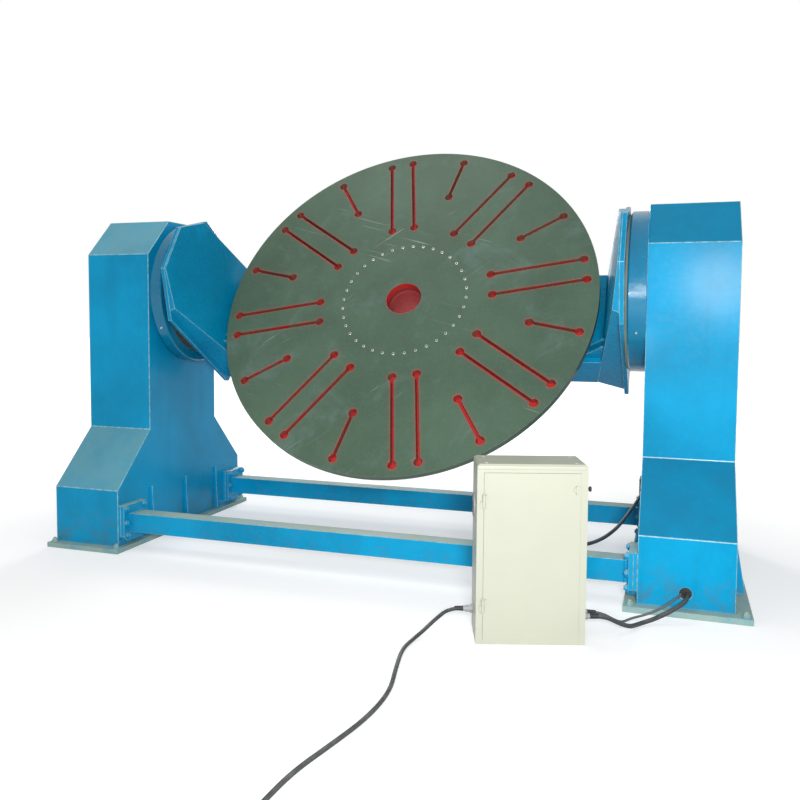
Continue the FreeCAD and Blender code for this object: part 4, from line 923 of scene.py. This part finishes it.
class Welds(bpy.types.Operator):
    """Lays the fillet welds of the stand and of the cradle"""
    bl_idname = "positioner.welds"
    bl_label = "Welds"

    def execute(self, context):
        leg = context.scene.positioner_sizes.bead
        thin = leg * 0.8
        dice = random.Random(7)
        mesh = bmesh.new()

        def root_and_toe(name, out):
            low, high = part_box(name)
            return (high.x, low.x) if out < 0 else (low.x, high.x)

        for column, plate in (("drive_column", "drive_base_plate"), ("idler_column", "idler_base_plate")):
            low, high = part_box(column)
            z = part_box(plate)[1].z
            corners = [(low.x, low.y), (high.x, low.y), (high.x, high.y), (low.x, high.y)]
            for k, out in enumerate((FRONT, RIGHT, REAR, LEFT)):
                weld(mesh, (*corners[k], z), (*corners[(k + 1) % 4], z), leg, out + UP, dice)

        half_rib = 0.008
        for ribs, out in (("drive_inner_ribs", -1), ("drive_outer_ribs", 1), ("idler_inner_ribs", 1)):
            low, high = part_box(ribs)
            root, toe = root_and_toe(ribs, out)
            for k in range(3):
                middle = low.y + half_rib + (high.y - low.y - 2 * half_rib) * k / 2
                for side in (-1, 1):
                    y = middle + side * half_rib
                    weld(mesh, (root, y, low.z + 0.006), (root, y, high.z - 0.004), thin, (out, side, 0),
                         dice)
                    weld(mesh, (root, y, low.z), (toe, y, low.z), thin, (0, side, 1), dice)

        pad = 0.23
        for pads, out in (("drive_beam_pads", -1), ("idler_beam_pads", 1)):
            low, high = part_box(pads)
            root = root_and_toe(pads, out)[0]
            for y0, y1, inner, side in ((low.y, low.y + pad, low.y + pad, 1),
                                        (high.y - pad, high.y, high.y - pad, -1)):
                weld(mesh, (root, y0 + 0.004, high.z), (root, y1 - 0.004, high.z), thin, (out, 0, 1), dice)
                weld(mesh, (root, inner, low.z + 0.006), (root, inner, high.z), thin, (out, side, 0), dice)

        flange = 0.025
        for beam in ("front_tie_beam", "rear_tie_beam"):
            low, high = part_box(beam)
            for x, out in ((low.x + flange, 1), (high.x - flange, -1)):
                weld(mesh, (x, low.y, high.z), (x, high.y, high.z), thin, (out, 0, 1), dice)
                weld(mesh, (x, low.y, low.z), (x, low.y, high.z), thin, (out, -1, 0), dice)
                weld(mesh, (x, high.y, low.z), (x, high.y, high.z), thin, (out, 1, 0), dice)

        # rings round the drums, left out where they would pass the column's sides
        idler_ring, reach, count = 0.385, 0.345, 48
        for drum, column, out in (("drive_drum", "drive_column", -1), ("idler_drum", "idler_column", 1)):
            low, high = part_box(drum)
            radius = (high.z - low.z) / 2 if out < 0 else idler_ring
            centre = Vector((root_and_toe(drum, out)[0], (low.y + high.y) / 2, (low.z + high.z) / 2))
            near, far = (corner.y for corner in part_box(column))
            ring = [centre + Vector((0, spoke.x, spoke.y))
                    for spoke in (on_circle(radius, 360 * k / count) for k in range(count + 1))]
            for one, other in zip(ring, ring[1:]):
                if min(one.y, other.y) >= near + reach and max(one.y, other.y) <= far - reach:
                    weld(mesh, one, other, leg,
                         (out, (one.y - centre.y) / radius, (one.z - centre.z) / radius), dice)
        add_piece("stand_welds", mesh, "weld_blue", "stand")

        # the cradle's welds lie in the frame of CRADLE, where -Z is behind the table
        mesh = bmesh.new()
        level = CRADLE.to_3x3()
        end = (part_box("drive_arm")[1].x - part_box("idler_arm")[0].x) / 2
        front, rear, high, low = 0.545, 0.535, 0.326, 0.37
        slope, knee, gusset = 0.147, -0.282, 0.124

        def inner(z):
            """Inner face of the arm, which widens towards the rear."""
            return end - 0.011 - slope * (front - z)

        for side in (-1, 1):
            def bead(start, stop, size, lift):
                (x0, y0, z0), (x1, y1, z1) = start, stop
                weld(mesh, CRADLE @ Vector((side * x0, y0, z0)), CRADLE @ Vector((side * x1, y1, z1)),
                     size, level @ Vector(lift), dice)

            bead((end, high, 0.01 - rear), (end, high, front - 0.2), leg, (-side, 1, 0))
            bead((end, -low, 0.01 - rear), (end, -low, front - 0.215), leg, (-side, -1, 0))
            corner = inner(knee)
            for y, lift in ((0.214, -1), (0.228, 1), (0.162, -1), (0.176, 1)):
                bead((corner, y, knee + 0.002), (inner(knee + gusset), y, knee + gusset),
                     leg * 0.7, (-side, lift, 0))
                bead((corner - gusset, y, knee), (corner - 0.004, y, knee), leg * 0.7, (0, lift, 1))
            bead((corner, -0.322, knee), (corner, 0.318, knee), leg, (-side, 0, 1))
            bead((inner(-rear), high, 0.006 - rear), (corner, high, knee - 0.006), leg, (side * 0.2, 1, 0))
        seat = [on_circle(0.4, a, knee) for a in range(0, 365, 5)]
        for one, other in zip(seat, seat[1:]):
            if max(abs(one.y), abs(other.y)) < high - 0.012:
                weld(mesh, CRADLE @ one, CRADLE @ other, leg,
                     level @ Vector((one.x * 2.5, one.y * 2.5, 1)), dice)
        add_piece("cradle_welds", mesh, "weld_cradle", "cradle")
        return {"FINISHED"}


class ColumnParts(bpy.types.Operator):
    """Adds cover screws, the junction box's lid, grease nipples and earth studs to the columns"""
    bl_idname = "positioner.column_parts"
    bl_label = "Column fittings"

    def execute(self, context):
        low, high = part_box("drive_service_cover")
        inset, second, boss = 0.022, 0.181, 0.006
        middle = (low.y + high.y) / 2
        mesh = bmesh.new()
        for y in (low.y + inset, middle, high.y - inset):
            for z in (low.z + inset, low.z + second, high.z - second, high.z - inset):
                if y == middle and abs(z - (low.z + high.z) / 2) < 0.15:
                    continue
                at = frame_at((low.x + boss, y, z), RIGHT, REAR)
                disc(mesh, at, 0.0125, 0, 0.002, 20)
                lathe(mesh, at, [(0, 0.002), (0.0088, 0.002), (0.0088, 0.0056), (0.0076, 0.0068),
                                 (0.004, 0.0068), (0.0038, 0.004), (0, 0.004)], 6)
        low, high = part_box("column_junction_box")
        for y in (high.y - 0.11, high.y - 0.01):
            for z in (low.z + 0.01, high.z - 0.01):
                button(mesh, frame_at((low.x, y, z), LEFT, REAR), 0.0048, 0, 0.0016, 0.004, 0.0024)
        add_piece("cover_screws", mesh, "zinc", "stand")

        mesh = bmesh.new()
        lid = frame_at((low.x, high.y - 0.06, (low.z + high.z) / 2), LEFT, REAR)
        block(mesh, lid, (-0.042, -0.042, 0), (0.042, 0.042, 0.0014), 0.0006)
        add_piece("junction_lid_panel", mesh, "grey", "stand")

        nipples, studs = bmesh.new(), bmesh.new()
        for drum, column in (("drive_drum", "drive_column"), ("idler_drum", "idler_column")):
            low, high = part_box(drum)
            middle = (low + high) / 2
            if drum == "idler_drum":
                middle.x = high.x - 0.036
            for angle in (-150, -30):
                spoke = on_circle(1, angle)
                out = Vector((0, spoke.x, spoke.y))
                at = frame_at(middle + out * (high.z - low.z) / 2, out, RIGHT)
                disc(nipples, at, 0.0065, -0.001, 0.005, 6)
                lathe(nipples, at, [(0, 0.005), (0.003, 0.005), (0.0022, 0.0085), (0.0034, 0.0105),
                                    (0.0034, 0.0125), (0.0018, 0.0145), (0, 0.0145)], 16)
            low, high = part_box(column)
            at = frame_at(((low.x + high.x) / 2, high.y, 0.15), REAR, RIGHT)
            hex_head(studs, at, 0.019, 0.009, 0.012, 0.005)
        add_piece("grease_nipples", nipples, "zinc", "stand")
        add_piece("earth_studs", studs, "zinc", "stand")
        return {"FINISHED"}


class TurningDriveParts(bpy.types.Operator):
    """Adds fins, terminal lid, cowl grille, screws, caps and oil plugs to the turning gearmotor"""
    bl_idname = "positioner.turning_drive_parts"
    bl_label = "Gearmotor fittings"

    def execute(self, context):
        # in the frame of CRADLE: the reducer's axis, half its width, and its levels from the top down
        gear, half = 0.552, 0.125
        top, motor_level, bottom = -0.56, -0.66, -0.76
        motor_end = gear - half
        cowl = 0.018
        to_left, to_right, down = turn(-90, "Y"), turn(90, "Y"), turn(180, "X")

        def at(x, y, z, way):
            return CRADLE @ move(x, y, z) @ way

        mesh = bmesh.new()
        axis = at(motor_end - cowl, 0, motor_level, to_left)
        for k in range(28):
            angle = 360 * (k + 0.5) / 28
            # none where the terminal box stands
            if abs(angle - 180) > 44:
                block(mesh, axis @ turn(angle), (0.0945, -0.0016, 0.012), (0.1025, 0.0016, 0.248))
        add_piece("motor_fins", mesh, "motor", "cradle")

        mesh = bmesh.new()
        under = at(motor_end - 0.15, 0, motor_level - 0.1292, down)
        block(mesh, under, (-0.062, -0.059, -0.001), (0.062, 0.059, 0.005), 0.002)
        for x in (-0.052, 0.052):
            for y in (-0.049, 0.049):
                button(mesh, under @ move(x, y, 0.005), 0.005, 0, 0.002, 0.004, 0.0032, 14)
        add_piece("motor_terminal_lid", mesh, "motor", "cradle")

        mesh = bmesh.new()
        end = at(motor_end - cowl - 0.33, 0, motor_level, to_left)
        for radius in (0.02, 0.038, 0.056, 0.074, 0.092):
            inner, outer = radius - 0.0022, radius + 0.0022
            lathe(mesh, end, [(inner, -0.0015), (outer, -0.0015), (outer, 0.0025), (inner, 0.0025),
                              (inner, -0.0015)], 48)
        for k in range(8):
            block(mesh, end @ turn(45 * k), (0.006, -0.0022, -0.001), (0.094, 0.0022, 0.0022))
        disc(mesh, end, 0.009, -0.001, 0.003, 24)
        add_piece("cowl_grille", mesh, "grey", "cradle")

        mesh = bmesh.new()
        flange, cap = at(gear, 0, top, down), at(gear, 0, bottom, down)
        row = 0.1325
        for x, y in ([(x, y) for x in (-row, row) for y in (-0.115, -0.04, 0.04, 0.115)]
                     + [(x, y) for y in (-row, row) for x in (-0.078, 0.0, 0.078)]):
            hex_head(mesh, flange @ move(x, y), 0.014, 0.008, 0.0068)
        for k in range(8):
            hex_head(mesh, cap @ move(*on_circle(0.092, 45 * k + 22.5, 0.007)), 0.013, 0.008)
        add_piece("reducer_screws", mesh, "zinc", "cradle")

        mesh = bmesh.new()
        lathe(mesh, cap, [(0, -0.001), (0.104, -0.001), (0.104, 0.005), (0.101, 0.007), (0.066, 0.007),
                          (0.062, 0.004), (0.03, 0.004), (0.027, 0.009), (0, 0.009)], 56)
        button(mesh, at(gear + half, 0, motor_level, to_right), 0.082, -0.001, 0.005, 0.078, 0.008, 48)
        add_piece("reducer_caps", mesh, "reducer", "cradle")

        mesh = bmesh.new()
        for y, z in ((0.1, 0.03), (-0.1, 0.03), (0.0, 0.185)):
            hex_head(mesh, at(gear + half, y, top - z, to_right), 0.02, 0.009, 0.0125)
        add_piece("oil_plugs", mesh, "steel", "cradle")
        return {"FINISHED"}


class CabinetParts(bpy.types.Operator):
    """Adds the seal of the door's gap in a greyer cream, a painted shade of the gap, side knob, louvre rim,
    hinge pin heads and cap screws
    """
    bl_idname = "positioner.cabinet_parts"
    bl_label = "Cabinet fittings"

    def execute(self, context):
        wide, deep, tall = CABINET_SIZE
        # a thin greyer strip fills the door's gap: its seal and a painted shade
        mesh = bmesh.new()
        low_x, high_x, low_z, high_z = 0.03, wide - 0.03, 0.018, 0.792
        thick = 0.0012
        sides = ((low_x, low_x + thick, low_z, high_z), (high_x - thick, high_x, low_z, high_z),
                 (low_x, high_x, low_z, low_z + thick), (low_x, high_x, high_z - thick, high_z))
        for x0, x1, z0, z1 in sides:
            block(mesh, CABINET, (x0, -0.0006, z0), (x1, 0.0028, z1))
        add_piece("door_gap_seal_and_shade", mesh, "gap_shade", "stand")

        mesh = bmesh.new()
        knob = CABINET @ move(wide, 0.022, 0.717) @ turn(90, "Y")
        lathe(mesh, knob, [(0, -0.001), (0.01, -0.001), (0.01, 0.002), (0.007, 0.004), (0.007, 0.007),
                           (0.0115, 0.009), (0.0125, 0.014), (0.0105, 0.018), (0, 0.0185)], 32)
        add_piece("side_knob", mesh, "black", "stand")

        mesh = bmesh.new()
        vent = CABINET @ move(0, 0.155, 0.609) @ turn(-90, "Y")
        lathe(mesh, vent, [(0.0465, 0.0075), (0.0525, 0.0075), (0.054, 0.006), (0.054, -0.0005),
                           (0.052, -0.0005), (0.0465, -0.0005), (0.0465, 0.0075)], 48)
        for k in range(4):
            button(mesh, vent @ move(*on_circle(0.0425, 45 + 90 * k, 0.008)), 0.0032, -0.001, 0.001,
                   0.0024, 0.0018, 14)
        add_piece("louvre_rim", mesh, "grey", "stand")

        mesh = bmesh.new()
        for hinge in (0.15, 0.63):
            button(mesh, CABINET @ move(0.031, -0.011, hinge + 0.061), 0.0058, 0, 0.0022, 0.0046, 0.0036, 18)
        inset = 0.045
        for x in (inset, wide - inset):
            for y in (inset, deep - inset):
                button(mesh, CABINET @ move(x, y, tall), 0.0085, -0.0006, 0.0006, 0.007, 0.0018, 20)
        add_piece("hinge_pin_heads", mesh, "zinc", "stand")
        return {"FINISHED"}


class CabinetInside(bpy.types.Operator):
    """Adds the faces of the inverters, contactors and terminals, and the wiring ducts"""
    bl_idname = "positioner.cabinet_inside"
    bl_label = "Inside the cabinet"

    def execute(self, context):
        wide = CABINET_SIZE.x
        tray = 0.245          # depth of the mounting plate's face behind the door
        level = CABINET.to_3x3()

        def facing_door(x, depth, z):
            return frame_at(CABINET @ Vector((x, depth, z)), level @ FRONT, level @ RIGHT)

        mesh, keys = bmesh.new(), bmesh.new()
        front = tray - 0.125
        for x in (wide / 2 - 0.09, wide / 2 + 0.09):
            panel = facing_door(x, front - 0.006, 0.6276)
            block(keys, panel, (-0.03, 0.006, -0.0004), (0.03, 0.03, 0.001), 0.0004)
            for k in range(8):
                u, v = -0.024 + 0.016 * (k % 4), -0.008 - 0.014 * (k // 4)
                block(keys, panel, (u - 0.005, v - 0.004, -0.0004), (u + 0.005, v + 0.004, 0.0018), 0.0006)
            face = facing_door(x, front, 0.5028)
            for k in range(9):
                v = -0.052 + 0.013 * k
                block(mesh, face, (-0.058, v - 0.0028, -0.0004), (0.058, v + 0.0028, 0.0022), 0.0008)
        add_piece("inverter_ribs", mesh, "black", "stand")
        add_piece("inverter_keys", keys, "grey", "stand")

        mesh, screws = bmesh.new(), bmesh.new()
        first = 0.068
        row = wide - 2 * first
        contactor, contactors, terminals = 0.045, 7, 34
        for k in range(contactors):
            x = first + contactor / 2 + (row - contactor) * k / (contactors - 1)
            face = facing_door(x, tray - 0.08, 0.3125)
            block(mesh, face, (-0.018, -0.012, -0.0004), (0.018, 0.012, 0.006), 0.0015)
            block(mesh, face, (-0.006, -0.006, 0.006), (0.006, 0.006, 0.0085), 0.001)
            for v in (-0.03, 0.03):
                for u in (-0.014, 0.0, 0.014):
                    button(screws, face @ move(u, v), 0.0042, -0.0004, 0.0014, 0.0032, 0.002, 12)
        for k in range(terminals):
            face = facing_door(first + 0.006 + (row - 0.012) * k / (terminals - 1), tray - 0.048, 0.1325)
            block(mesh, face, (-0.004, -0.02, -0.0004), (0.004, 0.02, 0.003), 0.001)
            for v in (-0.014, 0.014):
                disc(screws, face @ move(0, v, 0.003), 0.0026, -0.0002, 0.0006, 10)
        add_piece("contactor_and_terminal_faces", mesh, "grey", "stand")
        add_piece("terminal_screws", screws, "zinc", "stand")

        mesh = bmesh.new()
        for z in (0.2, 0.385, 0.72):
            duct = facing_door(wide / 2, tray, z)
            block(mesh, duct, (-0.185, -0.016, -0.0005), (0.185, 0.016, 0.04), 0.0012)
            for k in range(29):
                u = -0.182 + 0.013 * k
                for v in (-0.0165, 0.0165):
                    block(mesh, duct, (u - 0.004, v - 0.001, 0.004), (u + 0.004, v + 0.001, 0.036))
        add_piece("wiring_ducts", mesh, "grey", "stand")
        return {"FINISHED"}


class Studio(bpy.types.Operator):
    """Sets the camera, the floor, the lamps and the surrounding light"""
    bl_idname = "positioner.studio"
    bl_label = "Studio"

    def execute(self, context):
        scene = context.scene
        studio = scene.positioner_studio

        yaw, pitch, roll = 0.3145, -0.0635, 0.0075
        aim = (Matrix.Rotation(yaw, 4, "Z") @ Matrix.Rotation(math.pi / 2 + pitch, 4, "X")
               @ Matrix.Rotation(roll, 4, "Z"))
        data = bpy.data.cameras.new("camera")
        data.sensor_width = 36
        data.lens = studio.lens
        data.shift_x = -0.0083
        data.shift_y = -0.0343
        data.clip_end = 200
        scene.camera = add_object("camera", data, matrix=move(1.6973, -4.7144, 1.4731) @ aim)

        mesh = bmesh.new()
        lathe(mesh, move(z=-0.0005), [(0, 0), (6, 0), (60, 0)], 64)
        paint = Paint("floor", Specular_IOR_Level=0.2, Emission_Strength=1.0)
        far = paint.vector("LENGTH", paint.place, out=1)
        glow = paint.step(far, 1.4, 8.0, 0.46, 1.0) * paint.seen()
        paint.put(paint.shader, "Emission Color", paint.mix(glow, (0, 0, 0), (1, 1, 1)))
        tone = paint.layer((0.62, 0.62, 0.615), paint.noise(0.8, 4), 0.3, 0.7, (0.65, 0.65, 0.645))
        add_object("floor", mesh_data("floor", mesh), paint.finish(tone, 0.8))

        scene.world = bpy.data.worlds.new("surround")
        scene.world.use_nodes = True
        air = Nodes(scene.world.node_tree)
        back = air.tree.nodes["Background"]
        air.put(back, "Color", (1, 1, 1))
        air.put(back, "Strength", air.step(air.seen(), 0, 1, studio.fill, 1.0))

        # position, what it looks at, diameter, share of the key's power, colour
        for name, at, target, size, share, shade in (
                ("key", (2.15, -5.2, 1.9), (0.3, 0.0, 1.1), 0.7, 1.0, (1, 1, 1)),
                ("catch", (1.3, -5.0, 1.25), (1.2, 0.0, 1.2), 0.3, 0.11, (1, 1, 1)),
                ("rear", (-2.5, 6.5, 3.5), (0.0, 0.4, 1.0), 2.0, 0.9, (1, 1, 1)),
                ("overhead", (-1.0, 0.3, 6.0), (0.0, 0.2, 1.0), 3.0, 0.28, (1, 1, 0.98))):
            data = bpy.data.lights.new(name, "AREA")
            data.shape = "DISK"
            data.size = size
            data.energy = studio.key * share
            data.color = shade
            away = Vector(at) - Vector(target)
            add_object(name, data, matrix=move(*at) @ away.to_track_quat("Z", "Y").to_matrix().to_4x4())
        scene.view_settings.view_transform = "Standard"
        return {"FINISHED"}


# ------------------------------------------------------------ registration
STEPS = (PaintNodes, Studio, MainsPlug, Cables, StrainReliefs, TurntableParts, Fasteners, Welds, ColumnParts,
         TurningDriveParts, CabinetParts, CabinetInside)


class PositionerPanel(bpy.types.Panel):
    """Lists the steps that dress the positioner"""
    bl_label = "Welding positioner"
    bl_idname = "VIEW3D_PT_positioner"
    bl_space_type = "VIEW_3D"
    bl_region_type = "UI"
    bl_category = "Positioner"

    def draw(self, context):
        for group in ("positioner_finishes", "positioner_sizes", "positioner_studio"):
            settings = getattr(context.scene, group)
            box = self.layout.box()
            for name in settings.bl_rna.properties.keys():
                if name not in ("rna_type", "name"):
                    box.prop(settings, name)
        for step in STEPS:
            self.layout.operator(step.bl_idname)


CLASSES = (PositionerFinishes, PositionerSizes, PositionerStudio, *STEPS, PositionerPanel)


def register():
    for each in CLASSES:
        bpy.utils.register_class(each)
    bpy.types.Scene.positioner_finishes = PointerProperty(type=PositionerFinishes)
    bpy.types.Scene.positioner_sizes = PointerProperty(type=PositionerSizes)
    bpy.types.Scene.positioner_studio = PointerProperty(type=PositionerStudio)


def unregister():
    del bpy.types.Scene.positioner_studio
    del bpy.types.Scene.positioner_sizes
    del bpy.types.Scene.positioner_finishes
    for each in reversed(CLASSES):
        bpy.utils.unregister_class(each)


def main():
    register()
    for step in STEPS:
        group, action = step.bl_idname.split(".")
        getattr(getattr(bpy.ops, group), action)()


if __name__ == "__main__":
    main()
